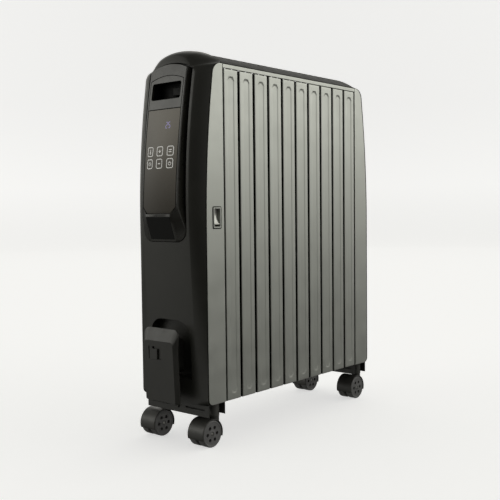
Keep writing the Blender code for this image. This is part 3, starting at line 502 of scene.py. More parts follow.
def end_panel(front):
    outline = [(d - PANEL_FRONT, z) for d, z in panel_outline()]
    outline = [(PANEL_BACK, PANEL_BOTTOM)] + outline + [(PANEL_BACK, PANEL_TOP)]
    solid = prism([(-d, z) for d, z in outline], "x", -HALF_WIDTH, HALF_WIDTH)
    room = block((SHEET - HALF_WIDTH, -0.06, 0.06), (HALF_WIDTH - SHEET, -0.0018, 0.64))
    cuts = [room]
    for z in (LOWER_HEADER_Z, UPPER_HEADER_Z):
        cuts.append(prism(circle(0.0215, 40, (0.0, z)), "y", -0.01, 0.01))
    if front:
        window = rounded(0.0079, ROCKER_Z - 0.0155, ROCKER_Z + 0.0155, 0.001, 3)
        cuts.append(prism([(ROCKER_Y + a, z) for a, z in window], "x", 0.070, 0.080))
    shell = bevelled(combine(solid, cut=cuts), 0.0005, 2, 50)
    holes = []
    stem, bolt = (-0.010, -0.020) if front else (-0.0337, -0.0237)
    foot = block((-0.0764, -0.0335, PANEL_BOTTOM), (0.0764, -0.0015, PANEL_BOTTOM + 0.0015))
    for side in (-1, 1):
        holes.append(prism(circle(0.0050, 24, (side * 0.0571, stem)), "z", 0.065, 0.080))
        holes.append(prism(circle(0.0028, 20, (side * 0.030, bolt)), "z", 0.065, 0.080))
    return joined([shell, combine(foot, cut=holes)])


def make_end_panels():
    piece("front_end_panel_folded", end_panel(True), FIN_GREY_GAP_SHADE, ROOT, ["front_end_panel"])
    rear = moved(mirrored(end_panel(False), 1), (0.0, FIN_STACK, 0.0))
    piece("rear_end_panel_folded", rear, FIN_GREY_GAP_SHADE, ROOT, ["rear_end_panel"])


def make_rails():
    """Pale strips with a rolled top edge that carry the slotted cover."""
    low, high = FIN_TOP + 0.0005, PANEL_TOP
    inner, roll = HALF_WIDTH - 0.0150, 0.0016
    outline = [(HALF_WIDTH - 0.0006, low), (HALF_WIDTH, low + 0.0006)]
    outline += arc((HALF_WIDTH - roll, high - roll), roll, 0, 90, 6)
    outline += [(inner, high), (inner, high - 0.0014), (HALF_WIDTH - 0.0018, high - 0.0014)]
    outline += [(HALF_WIDTH - 0.0016, low)]
    rail = prism(outline, "y", CLEAR, FIN_STACK - CLEAR)
    piece("side_rail_right_rolled", rail, GREY, ROOT, ["side_rail_right"])
    piece("side_rail_left_rolled", mirrored(rail, 0), GREY, ROOT, ["side_rail_left"])


def make_top_cover():
    base, steps = PANEL_TOP + CLEAR, 48

    def arched(inset, edge, low, high):
        half = HALF_WIDTH - 0.0012 - inset
        xs = [half * math.cos(math.pi * i / steps) for i in range(steps + 1)]
        outline = [(x, max(crown_arch(x) - inset, base + edge)) for x in xs]
        return prism(outline + [(-half, base - inset), (half, base - inset)], "y", low, high)

    cuts = [arched(0.0022, -0.001, -0.010, FIN_STACK + 0.010)]
    for slot in range(FIN_COUNT * 2):
        centre = FIN_PITCH / 2 * (slot + 0.5)
        outline = [(x, centre + y) for x, y in rounded(0.052, -0.0045, 0.0045, 0.0044, 6)]
        cuts.append(prism(outline, "z", 0.60, 0.67))
    outer = arched(0.0, 0.0012, CLEAR, FIN_STACK - CLEAR)
    cover = bevelled(combine(outer, cut=cuts), 0.0005, 2, 55)
    piece("top_cover_slotted", cover, TOP, ROOT, ["top_cover"])


# ---------------------------------------------------------------- domed end covers
SIDE_TURN, SIDE_FULLNESS, DOME_TURN = 62, 0.35, 80


def cover_stations(crease):
    """Pairs of outer edge and crease points, up one side and over the arch to its top."""
    front = crease is front_line
    crease_top = FRONT_CREASE_TOP if front else REAR_CREASE_TOP
    dome_top = DOME_TOP if front else CROWN_TOP
    middle = [0.0813 + (FRONT_BREAK_Z - 0.0813) * i / 8 for i in range(1, 9)]
    heights = [PANEL_BOTTOM + CLEAR] + LOW_HEIGHTS[2:] + middle + [0.345] + ARC_HEIGHTS
    pairs = []
    for z in heights:
        pairs.append(((HALF_WIDTH, -panel_edge(z) - CLEAR, z), (CREASE_X, crease(z), z)))
    edge_y = -panel_edge(EDGE_TOP) - CLEAR
    outer_corner = arc((edge_y + EDGE_CORNER, EDGE_TOP), EDGE_CORNER, 180, 90, CORNER_STEPS)
    inner_corner = arc((CREASE_X - 0.014, 0.610), 0.014, 0, 72, CORNER_STEPS)
    for (y, z), (x, crease_z) in zip(outer_corner, inner_corner):
        pairs.append(((HALF_WIDTH, y, z + CLEAR), (x, crease(crease_z), crease_z)))
    last_x, last_z = inner_corner[-1]
    radius = (last_x ** 2 + (crease_top - last_z) ** 2) / (2 * (crease_top - last_z))
    for i in range(16):
        share = 0.94 * (1 - i / 15)
        x = last_x * share
        crease_z = crease_top - radius + math.sqrt(radius ** 2 - x ** 2)
        outer_x = HALF_WIDTH * share
        outer = (outer_x, -CLEAR, crown_arch(outer_x, dome_top))
        pairs.append((outer, (x, crease(crease_z), crease_z)))
    return pairs


def cover_solid(crease, inset, back):
    """An end cover's form, shrunk by inset, with its back at a plane or its own edge."""
    rows, turns = [], 16
    for (ox, oy, oz), (ix, iy, iz) in cover_stations(crease):
        dome = min(1.0, 1.5 * (1.0 - (ox / HALF_WIDTH) ** 2))
        turn = math.radians(SIDE_TURN + (DOME_TURN - SIDE_TURN) * dome)
        fullness = SIDE_FULLNESS + (1.0 - SIDE_FULLNESS) * dome
        squeeze = max(1.0 - inset / max(ox, 0.012), 0.0)
        crown = FRONT_CROWN * min(ix / 0.040, 1.0) ** 2
        ox, ix = ox * squeeze, ix * squeeze
        iy, oy = iy + inset, oy + inset
        lift = -inset if oz > 0.6 else inset * max(0.0, min(1.0, (0.0945 - oz) / 0.02))
        half = [] if back is None else [(ox, back, oz + lift)]
        for i in range(turns + 1):
            angle = turn * i / turns
            side = (math.cos(angle) - math.cos(turn)) / (1 - math.cos(turn))
            fore = math.sin(angle) / math.sin(turn)
            side = (1.0 - fore) + fullness * (side + fore - 1.0)
            x, y, z = ix + (ox - ix) * side, oy + (iy - oy) * fore, iz + (oz - iz) * side
            half.append((x, y, z + lift))
        for share in (0.8, 0.6, 0.4, 0.2):
            half.append((ix * share, iy - crown * (1 - share ** 2), iz + lift))
        rows.append(half + [(0.0, iy - crown, iz + lift)] + [(-x, y, z) for x, y, z in reversed(half)])
    return loft(rows, cap_last=False)


BAY_HALF, BAY_FLOOR_Y, BAY_BOTTOM, BAY_CORNER = 0.050, -0.028, 0.338, 0.020
STORE_HALF, STORE_FLOOR_Y, STORE_BOTTOM, STORE_TOP = 0.046, -0.036, 0.097, 0.209
STORE_CORNER = 0.028


def bay_outline(grow=0.0):
    corner = BAY_CORNER + grow
    centre_x, centre_z = BAY_HALF - BAY_CORNER, BAY_BOTTOM + BAY_CORNER
    base = arc((-centre_x, centre_z), corner, 180, 270, 12) + arc((centre_x, centre_z), corner, 270, 360, 12)
    return arched_outline(BAY_HALF + grow, 0.6215 + grow, 0.6325 + grow, base)


def store_outline(grow=0.0):
    half, top, corner = STORE_HALF + grow, STORE_TOP + grow, STORE_CORNER + grow
    outline = arc((half - corner, top - corner), corner, 0, 90, 14)
    outline += arc((corner - half, top - corner), corner, 90, 180, 14)
    return outline + [(-half, STORE_BOTTOM - grow), (half, STORE_BOTTOM - grow)]


def store_cutter():
    mesh = prism(store_outline(), "y", -0.100, STORE_FLOOR_Y)
    for vertex in mesh.vertices:
        if vertex.co.y > -0.09 and vertex.co.z < STORE_BOTTOM + 0.001:
            vertex.co.z += 0.018
    return mesh


def make_front_housing():
    shell = combine(cover_solid(front_line, 0.0, None), cut=[cover_solid(front_line, WALL, 0.010)])
    inside = cover_solid(front_line, 0.0011, 0.0)
    bay_block = combine(prism(bay_outline(WALL), "y", -0.090, BAY_FLOOR_Y + WALL), keep=[inside])
    store_block = combine(prism(store_outline(WALL), "y", -0.090, STORE_FLOOR_Y + WALL), keep=[inside])
    cuts = [prism(bay_outline(), "y", -0.100, BAY_FLOOR_Y), store_cutter()]
    cuts.append(prism(circle(0.0063, 28, (-0.024, 0.150)), "y", -0.05, -0.02))
    cuts.append(block((-0.020, -0.040, 0.470), (0.020, -0.020, 0.500)))
    body = combine(shell, join=[combine(bay_block, join=[store_block])], cut=cuts)
    body = bevelled(body, 0.0007, 2, 50)
    piece("front_housing_moulded", body, SHELL, ROOT, ["front_housing"], 32)


def make_rear_cover():
    shell = combine(cover_solid(rear_line, 0.0, None), cut=[cover_solid(rear_line, WALL, 0.010)])
    cuts = []
    for base in (0.105, 0.540):
        for row in range(4):
            z = base + 0.012 * row
            outline = rounded(0.040, z, z + 0.005, 0.0024, 5)
            cuts.append(prism(outline, "y", -0.080, -0.020))
    cover = mirrored(combine(shell, cut=cuts), 1)
    piece("rear_cover_moulded", moved(cover, (0.0, FIN_STACK, 0.0)), SHELL, ROOT,
          ["rear_cover"], 32)


# ---------------------------------------------------------------- control pod
POD_HALF, POD_FRONT_Y, POD_ARC_Z, POD_RADIUS, POD_CROWN = 0.042, -0.0746, 0.325, 1.573, 0.0042
CHIN_TOP, CHIN_SIDE_Z, CHIN_HALF, SHADE_PLATE_BOTTOM = 0.380, 0.394, 0.028, 0.3425
INSET_HALF, INSET_BOTTOM, INSET_CUT, INSET_SEAM, INSET_DEPTH = 0.0385, 0.384, 0.0107, 0.556, 0.005
SLOT_HALF, SLOT_BOTTOM, SLOT_TOP = 0.0335, 0.572, 0.600


def pod_line(z):
    return POD_FRONT_Y + (z - POD_ARC_Z) ** 2 / (2 * POD_RADIUS)


def pod_crown(z):
    return POD_CROWN * min(max((0.600 - z) / 0.120, 0.1), 1.0)


def inset_outline(shrink):
    half, bottom, cut = INSET_HALF - shrink, INSET_BOTTOM + shrink, INSET_CUT - 0.4 * shrink
    base = [(-half, bottom + cut), (cut - half, bottom), (half - cut, bottom), (half, bottom + cut)]
    return arched_outline(half, 0.6045 - shrink, 0.6120 - shrink, base)


def pod_slab(half, low, high, front, back):
    """A slab that follows the pod's front, between two depths behind it."""
    count = max(2, math.ceil((high - low) / 0.010))
    rows = []
    for i in range(count + 1):
        z = low + (high - low) * i / count
        crown = pod_crown(z)
        face = []
        for step in range(17):
            s = 1.0 - step / 8
            face.append((half * s, pod_line(z) + front - crown * (1 - s ** 2), z))
        rear_y = pod_line(z) + back if back < 0.02 else BAY_FLOOR_Y + 0.01
        rows.append(face + [(-half, rear_y, z), (half, rear_y, z)])
    return loft(rows)


def pod_body():
    """Pod with its chin: below the face it slopes back and widens to meet the bay edge."""
    rows = []
    back = BAY_FLOOR_Y - CLEAR
    corner = BAY_CORNER - 0.0006
    centre_x, centre_z = BAY_HALF - BAY_CORNER, BAY_BOTTOM + BAY_CORNER
    low_rows = [0.3387 + 0.0193 * (1 - math.cos(math.radians(11.25 * i))) for i in range(1, 9)]
    round_edge = [math.radians(22.5 * i) for i in range(5)]
    for z in low_rows + [0.3620, 0.3680, 0.3740, CHIN_TOP]:
        if z <= centre_z:
            half = centre_x + math.sqrt(max(corner ** 2 - (centre_z - z) ** 2, 0.0))
            side = -0.0630
        else:
            share = (z - centre_z) / (CHIN_SIDE_Z - centre_z)
            half = centre_x + corner + (POD_HALF - centre_x - corner) * share
            side = -0.0630 + (pod_line(CHIN_SIDE_Z) + 0.0630) * share
        rise = (z - BAY_BOTTOM) / (CHIN_TOP - BAY_BOTTOM)
        chin = -0.0645 + (pod_line(CHIN_TOP) - POD_CROWN + 0.0645) * rise
        chin = min(chin, side - 0.0002)
        right = [(half, back, z)]
        right += [(half - 0.0010 * (1 - math.cos(a)), side + 0.0012 * (1 - math.sin(a)), z)
                  for a in round_edge]
        for share in (0.75, 0.5, 0.25, 0.0):
            reach = CHIN_HALF + (half - 0.0010 - CHIN_HALF) * share
            right.append((reach, chin + (side - chin) * share, z))
        right += [(CHIN_HALF * s, chin - 0.0003 * (1 - s), z) for s in (0.75, 0.5, 0.25)]
        rows.append(right + [(0.0, chin - 0.0003, z)] + [(-x, y, w) for x, y, w in reversed(right)])
    for i in range(26):
        z = CHIN_SIDE_Z + 0.246 * i / 25
        edge, crown = pod_line(z), pod_crown(z)
        right = [(POD_HALF, back, z)]
        right += [(POD_HALF - 0.0014 * (1 - math.cos(a)), edge + 0.0016 * (1 - math.sin(a)), z)
                  for a in round_edge]
        for s in (0.88, 0.80, 0.73, CHIN_HALF / POD_HALF, 0.5, 0.333, 0.167):
            right.append((POD_HALF * s, edge - crown * (1 - s ** 2), z))
        rows.append(right + [(0.0, edge - crown, z)] + [(-x, y, w) for x, y, w in reversed(right)])
    return loft(rows)


def make_pod():
    arch = arched_outline(BAY_HALF, 0.6170, 0.6300, [(-BAY_HALF, 0.30), (BAY_HALF, 0.30)])
    pocket_form = prism(inset_outline(0.0), "y", -0.120, 0.0)
    pocket = combine(pod_slab(POD_HALF, 0.380, 0.625, -0.020, INSET_DEPTH), keep=[pocket_form])
    room = pod_slab(0.031, 0.400, 0.542, -0.004, 0.05)
    grip_room = block((-SLOT_HALF - 0.0023, -0.080, SLOT_BOTTOM - 0.0023),
                      (SLOT_HALF + 0.0023, -0.020, SLOT_TOP + 0.0023))
    pod = combine(pod_body(), keep=[prism(arch, "y", -0.100, 0.0)], cut=[pocket, room, grip_room])
    piece("control_pod_moulded", pod, POD, ROOT, ["control_pod"], 22)

    # Painted shade: a near-black plate on the chin's middle facet stands for the shade under the pod face.
    chin_shade_plate = []
    for step in range(9):
        z = SHADE_PLATE_BOTTOM + (CHIN_TOP - 0.0008 - SHADE_PLATE_BOTTOM) * step / 8
        rise = (z - BAY_BOTTOM) / (CHIN_TOP - BAY_BOTTOM)
        y = -0.0645 + (pod_line(CHIN_TOP) - POD_CROWN + 0.0645) * rise - 0.0004
        half = CHIN_HALF - 0.0004
        chin_shade_plate.append([(half, y, z), (-half, y, z), (-half, y + 0.0012, z), (half, y + 0.0012, z)])
    piece("control_pod_chin_painted_shade", bevelled(loft(chin_shade_plate), 0.0002, 2, 50), CHIN, ROOT)

    insert = prism(inset_outline(0.0009), "y", -0.120, 0.0)
    bezel = pod_slab(POD_HALF, INSET_SEAM + 0.0005, 0.625, 0.0, INSET_DEPTH - CLEAR)
    slot = prism(rounded(SLOT_HALF, SLOT_BOTTOM, SLOT_TOP, 0.004, 8), "y", -0.100, 0.0)
    bezel = bevelled(combine(bezel, keep=[insert], cut=[slot]), 0.0006, 3, 50)
    piece("handle_bezel_moulded", bezel, BEZEL, ROOT, ["handle_bezel"], 35)

    lens = pod_slab(POD_HALF, 0.380, INSET_SEAM - 0.0005, 0.0004, INSET_DEPTH - CLEAR)
    lens = bevelled(combine(lens, keep=[insert]), 0.0004, 2, 50)
    piece("display_lens_gloss", lens, LENS, ROOT, ["display_lens"], 35)

    # The cup is black plastic; its near-black tone is partly painted shade of the cavity.
    cup_half, low, high = SLOT_HALF + 0.0020, SLOT_BOTTOM - 0.0020, SLOT_TOP + 0.0020
    cup = prism(rounded(cup_half, low, high, 0.004, 6), "y", -0.0580, BAY_FLOOR_Y - CLEAR)
    hollow = prism(rounded(SLOT_HALF, SLOT_BOTTOM, SLOT_TOP, 0.003, 6), "y", -0.080, -0.0315)
    bezel_space = pod_slab(POD_HALF, 0.560, 0.612, -0.020, INSET_DEPTH)
    cup = combine(cup, cut=[hollow, bezel_space])
    grip = bevelled(block((0.003, -0.041, 0.578), (SLOT_HALF + 0.001, -0.030, 0.592)), 0.0015, 4)
    piece("handle_cup_moulded", joined([cup, grip]), RECESS_SHADE_BLACK, ROOT, ["handle_cup"], 35)


# ---------------------------------------------------------------- printed icons and digits
def lens_y(x, z):
    """Front surface of the lens at one point of its front view."""
    return pod_line(z) + 0.0004 - pod_crown(z) * (1 - (x / POD_HALF) ** 2)


def print_ribbon(path, width, closed=False):
    """A flat printed stroke that lies on the lens, following a path in the front view."""
    points = [Vector(p) for p in path]
    count = len(points)
    rows = []
    for i, point in enumerate(points):
        before = points[(i - 1) % count] if closed or i else point
        after = points[(i + 1) % count] if closed or i < count - 1 else point
        along = (after - before).normalized()
        side = Vector((-along.y, along.x)) * width / 2
        row = []
        for spot, depth in ((point + side, -0.00008), (point - side, -0.00008),
                            (point - side, 0.0002), (point + side, 0.0002)):
            row.append((spot.x, lens_y(spot.x, spot.y) + depth, spot.y))
        rows.append(row)
    return closed_ring(rows) if closed else loft(rows)


def stroke(start, end):
    return [tuple(a + (b - a) * i / 4 for a, b in zip(start, end)) for i in range(5)]


def make_icons():
    thick = 0.0012
    columns, rows = (-0.0232, 0.0, 0.0232), (0.4865, 0.4663)
    prints = []
    for z in rows:
        for x in columns:
            frame_line = [(x + a, b) for a, b in rounded(0.0064, z - 0.0074, z + 0.0074, 0.0028, 6)]
            prints.append(print_ribbon(frame_line, thick, closed=True))

    def mark(x, z, path, width=0.0010, closed=False):
        prints.append(print_ribbon([(x + a, z + b) for a, b in path], width, closed))

    top, low = rows
    left, mid, right = columns
    mark(left, top, arc((0.0, -0.0022), 0.0013, 110, 430, 14))
    mark(left, top, stroke((0.0, -0.0010), (0.0, 0.0038)), 0.0013)
    mark(mid, top, stroke((-0.0026, 0.0), (0.0026, 0.0)), 0.0014)
    mark(mid, top, stroke((0.0, -0.0026), (0.0, 0.0026)), 0.0014)
    mark(right, top, stroke((-0.0028, 0.0018), (0.0028, 0.0018)), 0.0012)
    mark(right, top, stroke((-0.0028, -0.0016), (0.0028, -0.0016)), 0.0012)
    mark(left, low, circle(0.0027, 20), 0.0008, True)
    mark(left, low, stroke((0.0, 0.0), (0.0, 0.0017)), 0.0007)
    mark(left, low, stroke((0.0, 0.0), (0.0014, 0.0)), 0.0007)
    mark(mid, low, stroke((-0.0027, 0.0), (0.0027, 0.0)), 0.0014)
    mark(right, low, arc((0.0, -0.0003), 0.0027, 120, 420, 20), 0.0009)
    mark(right, low, stroke((0.0, 0.0002), (0.0, 0.0032)), 0.0009)
    piece("touch_icons_print", joined(prints), PRINT, ROOT)

    segments = {"a": ((0, 2), (1, 2)), "b": ((1, 2), (1, 1)), "c": ((1, 1), (1, 0)), "d": ((0, 0), (1, 0)),
                "e": ((0, 1), (0, 0)), "f": ((0, 2), (0, 1)), "g": ((0, 1), (1, 1))}
    bars = []
    for offset, lit in ((0.0088, "abged"), (0.0144, "afgcd")):
        for key in lit:
            ends = [(offset + 0.0036 * a, 0.5240 + 0.0048 * b) for a, b in segments[key]]
            middle = ((ends[0][0] + ends[1][0]) / 2, (ends[0][1] + ends[1][1]) / 2)
            near = [tuple(m + 0.82 * (e - m) for e, m in zip(end, middle)) for end in ends]
            bars.append(print_ribbon(stroke(*near), 0.0010))
    piece("display_digits_lit", joined(bars), DIGITS, ROOT)


# ---------------------------------------------------------------- cord store
COVER_HALF, COVER_BOTTOM, COVER_TOP, COVER_FACE_TOP, COVER_STAND = 0.0403, 0.0725, 0.196, 0.174, 0.0295


def cover_ring(half, low, high, corner, side_depth, top_depth):
    """Outline of the cord cover at one depth behind its face; its top edge lies deeper."""
    foot, waist = 0.002, 0.160
    sides = [low + foot + (waist - low - foot) * i / 8 for i in range(9)]
    outline = [(-half, z) for z in reversed(sides)] + [(foot - half, low)]
    outline += [(half - foot, low)] + [(half, z) for z in sides]
    outline += arc((half - corner, high - corner), corner, 0, 90, 12)
    outline += arc((corner - half, high - corner), corner, 90, 180, 12)
    ring = []
    for x, z in outline:
        share = max(0.0, (z - COVER_FACE_TOP) / (COVER_TOP - COVER_FACE_TOP))
        depth = side_depth + (top_depth - side_depth) * share
        ring.append((x, front_line(z) - COVER_STAND + depth, z))
    return ring


def make_cord_store():
    low, high, half = COVER_BOTTOM, COVER_TOP, COVER_HALF
    face_half, face_high = half - 0.0075, COVER_FACE_TOP + 0.0015
    plate = loft([
        cover_ring(half - 0.0004, low + 0.0004, high - 0.0004, 0.012, 0.0056, 0.0120),
        cover_ring(half, low, high, 0.012, 0.0052, 0.0116),
        cover_ring(half, low, high, 0.012, 0.0038, 0.0106),
        cover_ring(half - 0.0005, low + 0.0002, high - 0.0004, 0.012, 0.0032, 0.0100),
        cover_ring(face_half + 0.0008, low + 0.0012, face_high + 0.0010, 0.0065, 0.0005, 0.0007),
        cover_ring(face_half, low + 0.0015, face_high, 0.006, 0.0, 0.0),
    ])
    hollow = loft([
        cover_ring(half - 0.0020, low + 0.0020, high - 0.0020, 0.010, 0.0200, 0.0200),
        cover_ring(half - 0.0020, low + 0.0020, high - 0.0020, 0.010, 0.0048, 0.0110),
        cover_ring(face_half - 0.0010, low + 0.0035, face_high - 0.0010, 0.005, 0.0020, 0.0020),
    ])
    outline = rounded(0.014, 0.118, 0.176, 0.010, 8)
    front = [(x, front_line(z) - COVER_STAND + 0.0010, z) for x, z in outline]
    post = loft([front, [(x, STORE_FLOOR_Y - CLEAR, z) for x, z in outline]])
    clip = block((-0.0240, -0.0900, 0.1445), (0.0055, -0.0765, 0.1660))
    dish = combine(combine(plate, cut=[hollow]), join=[post], cut=[clip])
    tab = bevelled(block((-0.0225, -0.0798, 0.1435), (-0.0045, -0.0772, 0.1615)), 0.0006, 3)
    piece("cord_cover_moulded", joined([dish, tab]), STORE, ROOT, ["cord_cover"], 24)
    profile = [(-0.0442, 0.0038), (-0.0444, 0.0046), (-0.0440, 0.0052), (-0.0405, 0.0056),
               (-0.0372, 0.0060), (-0.0366, 0.0080), (-0.0363, 0.0085), (-0.0363, 0.0058),
               (-0.0275, 0.0058), (-0.0275, 0.0036)]
    rows = [[(x, y, z) for x, z in circle(r, 32, (-0.024, 0.150))] for y, r in profile]
    piece("cord_gland_moulded", closed_ring(rows), MODULE, ROOT, ["cord_gland"])


# ---------------------------------------------------------------- rocker switch
ROCKER_HALF_Y, ROCKER_HALF_Z, ROCKER_TILT = 0.0062, 0.0140, math.radians(9)
ROCKER_PIVOT_X = 0.0682


def make_rocker():
    def ring(half_y, half_z, radius, x, steps=6):
        outline = rounded(half_y, ROCKER_Z - half_z, ROCKER_Z + half_z, radius, steps)
        return [(x, ROCKER_Y + a, z) for a, z in outline]

    def window(half_y, half_z, radius, low, high, steps=6):
        return prism([(y, z) for _, y, z in ring(half_y, half_z, radius, 0.0, steps)], "x", low, high)

    lip = HALF_WIDTH + 0.0010
    frame_solid = loft([
        ring(0.0075, 0.0151, 0.0012, 0.0570), ring(0.0075, 0.0151, 0.0012, HALF_WIDTH + CLEAR),
        ring(0.0093, 0.0171, 0.0022, HALF_WIDTH + CLEAR), ring(0.0093, 0.0171, 0.0022, lip - 0.0005),
        ring(0.0088, 0.0166, 0.0018, lip), ring(0.0072, 0.0150, 0.0012, lip),
        ring(0.0067, 0.0145, 0.0008, lip - 0.0006),
    ])
    pocket = window(0.0066, 0.0144, 0.0006, 0.0640, 0.0900, 3)
    body = combine(frame_solid, cut=[pocket])
    # Painted shade: a near-black band just proud of the panel round the frame stands for the shade of the
    # gap.
    shade_band = window(0.0104, 0.0184, 0.0030, HALF_WIDTH + 0.0001, HALF_WIDTH + 0.0007)
    middle = window(0.0089, 0.0167, 0.0020, HALF_WIDTH - 0.001, HALF_WIDTH + 0.002)
    piece("rocker_frame_gap_shade_band", combine(shade_band, cut=[middle]), RECESS_SHADE_BLACK, ROOT)
    piece("rocker_frame_moulded", body, GREY, ROOT, ["rocker_frame"])

    half_y, reach, low, high = ROCKER_HALF_Y - 0.0001, ROCKER_HALF_Z - 0.0012, 0.0050, 0.0085
    side = [(-0.0035, -0.0030), (-0.0035, 0.0030), (low - 0.0020, reach - 0.0002), (high - 0.0006, reach)]
    side += [(high, reach - 0.0005)]
    for i in range(1, 12):
        z = reach - 0.0005 - (2 * reach - 0.0010) * i / 12
        side.append((low + 0.0006 + (high - low - 0.0006) * (z / reach) ** 2, z))
    side += [(high, 0.0005 - reach), (high - 0.0006, -reach), (low - 0.0020, 0.0002 - reach)]
    turned = [(x * math.cos(ROCKER_TILT) - z * math.sin(ROCKER_TILT) + ROCKER_PIVOT_X,
               x * math.sin(ROCKER_TILT) + z * math.cos(ROCKER_TILT) + ROCKER_Z) for x, z in side]
    rows = []
    for y, inset in ((-half_y, 0.0004), (-half_y + 0.0004, 0.0), (half_y - 0.0004, 0.0), (half_y, 0.0004)):
        rows.append([(x - inset, ROCKER_Y + y, z) for x, z in turned])
    piece("rocker_moulded", loft(rows), ROCKER, "rocker", ["rocker"])


# ---------------------------------------------------------------- brackets
BRACKET_FRONT, BRACKET_REAR, BRACKET_TOP, BRACKET_SKIRT = -0.0384, 0.0015, 0.0708, 0.0498
BRACKET_HALF, BRACKET_SHEET = 0.0725, 0.0015
REAR_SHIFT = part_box("caster_bracket_rear")[0].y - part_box("caster_bracket_front")[0].y
CASTER_X, STEM_Y, TRAIL = 0.0571, -0.010, 0.0215


def bracket():
    bend, sheet = 0.0030, BRACKET_SHEET
    outer = [(BRACKET_FRONT, BRACKET_SKIRT)]
    outer += arc((BRACKET_FRONT + bend, BRACKET_TOP - bend), bend, 180, 90, 6)
    outer += arc((BRACKET_REAR - bend, BRACKET_TOP - bend), bend, 90, 0, 6)
    outer += [(BRACKET_REAR, BRACKET_SKIRT)]
    inner = [(BRACKET_REAR - sheet, BRACKET_SKIRT)]
    inner += arc((BRACKET_REAR - bend, BRACKET_TOP - bend), bend - sheet, 0, 90, 6)
    inner += arc((BRACKET_FRONT + bend, BRACKET_TOP - bend), bend - sheet, 90, 180, 6)
    inner += [(BRACKET_FRONT + sheet, BRACKET_SKIRT)]
    channel = prism(outer + inner, "x", -BRACKET_HALF, BRACKET_HALF)
    backing = block((0.0160, BRACKET_FRONT + 0.0035, 0.0545),
                    (0.0660, BRACKET_FRONT + 0.0050, BRACKET_TOP - 0.001))
    channel = combine(channel, join=[backing, mirrored(backing, 0)])
    cuts = [prism(circle(0.0026, 20, (0.0, 0.0610)), "y", -0.050, -0.030)]
    for side in (-1, 1):
        cuts.append(prism(circle(0.0050, 28, (side * CASTER_X, STEM_Y)), "z", 0.060, 0.080))
        cuts.append(prism(circle(0.0028, 20, (side * 0.030, -0.020)), "z", 0.060, 0.080))
        outline = [(side * 0.041 + a, z) for a, z in rounded(0.022, 0.0600, 0.0626, 0.0012, 5)]
        cuts.append(prism(outline, "y", -0.050, -0.036))
    return bevelled(combine(channel, cut=cuts), 0.0003, 2, 50)


def make_brackets():
    mesh = bracket()
    for end, shift in (("front", 0.0), ("rear", REAR_SHIFT)):
        shifted = moved(mesh, (0.0, shift, 0.0))
        piece(f"caster_bracket_{end}_folded", shifted, BRACKET, ROOT,
              [f"caster_bracket_{end}"], 35)


# ---------------------------------------------------------------- casters
WHEEL_RADIUS = 0.0225
AXLE_Z = (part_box("caster_front_left_axle")[0].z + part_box("caster_front_left_axle")[1].z) / 2
CASTER_HALF, WHEEL_INNER, WHEEL_OUTER = 0.0173, 0.0031, 0.0168


def around_axle(radius, start, end, steps):
    return [(y - TRAIL, z + AXLE_Z) for y, z in arc((0.0, 0.0), radius, start, end, steps)]


def caster_body():
    """Hood over both wheels, centre web, collar and stem; the origin is the stem at the floor."""
    hood = around_axle(0.0246, -18, 198, 48) + around_axle(0.0222, 198, -18, 48)
    hood = bevelled(prism(hood, "x", -CASTER_HALF, CASTER_HALF), 0.0005, 3, 50)
    collar = lathe([(0.030, 0.0086), (0.0660, 0.0088), (0.0675, 0.0086), (0.0685, 0.0078)], "z", 48)
    round_wheel = circle(WHEEL_RADIUS + 0.0007, 72, (-TRAIL, AXLE_Z))
    room = prism(round_wheel, "x", WHEEL_INNER - 0.0005, CASTER_HALF + 0.01)
    web = prism(around_axle(0.0232, -18, 198, 48), "x", 0.0006 - WHEEL_INNER, WHEEL_INNER - 0.0006)
    pin = lathe([(0.060, 0.0040), (0.0782, 0.0040), (0.0790, 0.0032)], "z", 24)
    hole = prism(circle(0.0033, 24, (-TRAIL, AXLE_Z)), "x", -0.03, 0.03)
    arch = combine(hood, join=[collar], cut=[room, mirrored(room, 0)])
    return combine(arch, join=[web, pin], cut=[hole])


def collar_sleeve():
    """Thin steel sleeve round the caster's collar, from the hood to the bracket."""
    profile = [(0.0470, 0.0089), (0.0470, 0.00925), (0.0676, 0.00925), (0.0689, 0.0084), (0.0689, 0.0040)]
    return lathe(profile, "z", 48)


def wheel():
    """One wheel, origin at its axle: treaded rim, dished face and six round holes."""
    tread = [(WHEEL_INNER, 0.0034), (WHEEL_INNER, 0.0215), (WHEEL_INNER + 0.0008, 0.0222)]
    tread += [(WHEEL_INNER + 0.0020, AXLE_Z), (WHEEL_OUTER - 0.0030, AXLE_Z)]
    tread += [(WHEEL_OUTER - 0.0016 + 0.0016 * math.sin(a), AXLE_Z - 0.0016 + 0.0016 * math.cos(a))
              for a in (math.radians(15 * i) for i in range(7))]
    tread += [(WHEEL_OUTER, 0.0196), (WHEEL_OUTER - 0.0006, 0.0188), (WHEEL_OUTER - 0.0006, 0.0068)]
    tread += [(WHEEL_OUTER - 0.0001, 0.0060), (WHEEL_OUTER - 0.0001, 0.0034)]
    rows = [[(x, y, z) for y, z in circle(r, 72)] for x, r in tread]
    cuts = []
    for step in range(6):
        angle = math.radians(60 * step)
        centre = (0.0112 * math.cos(angle), 0.0112 * math.sin(angle))
        cuts.append(prism(circle(0.0030, 24, centre), "x", 0.006, 0.03))
    return combine(closed_ring(rows), cut=cuts)


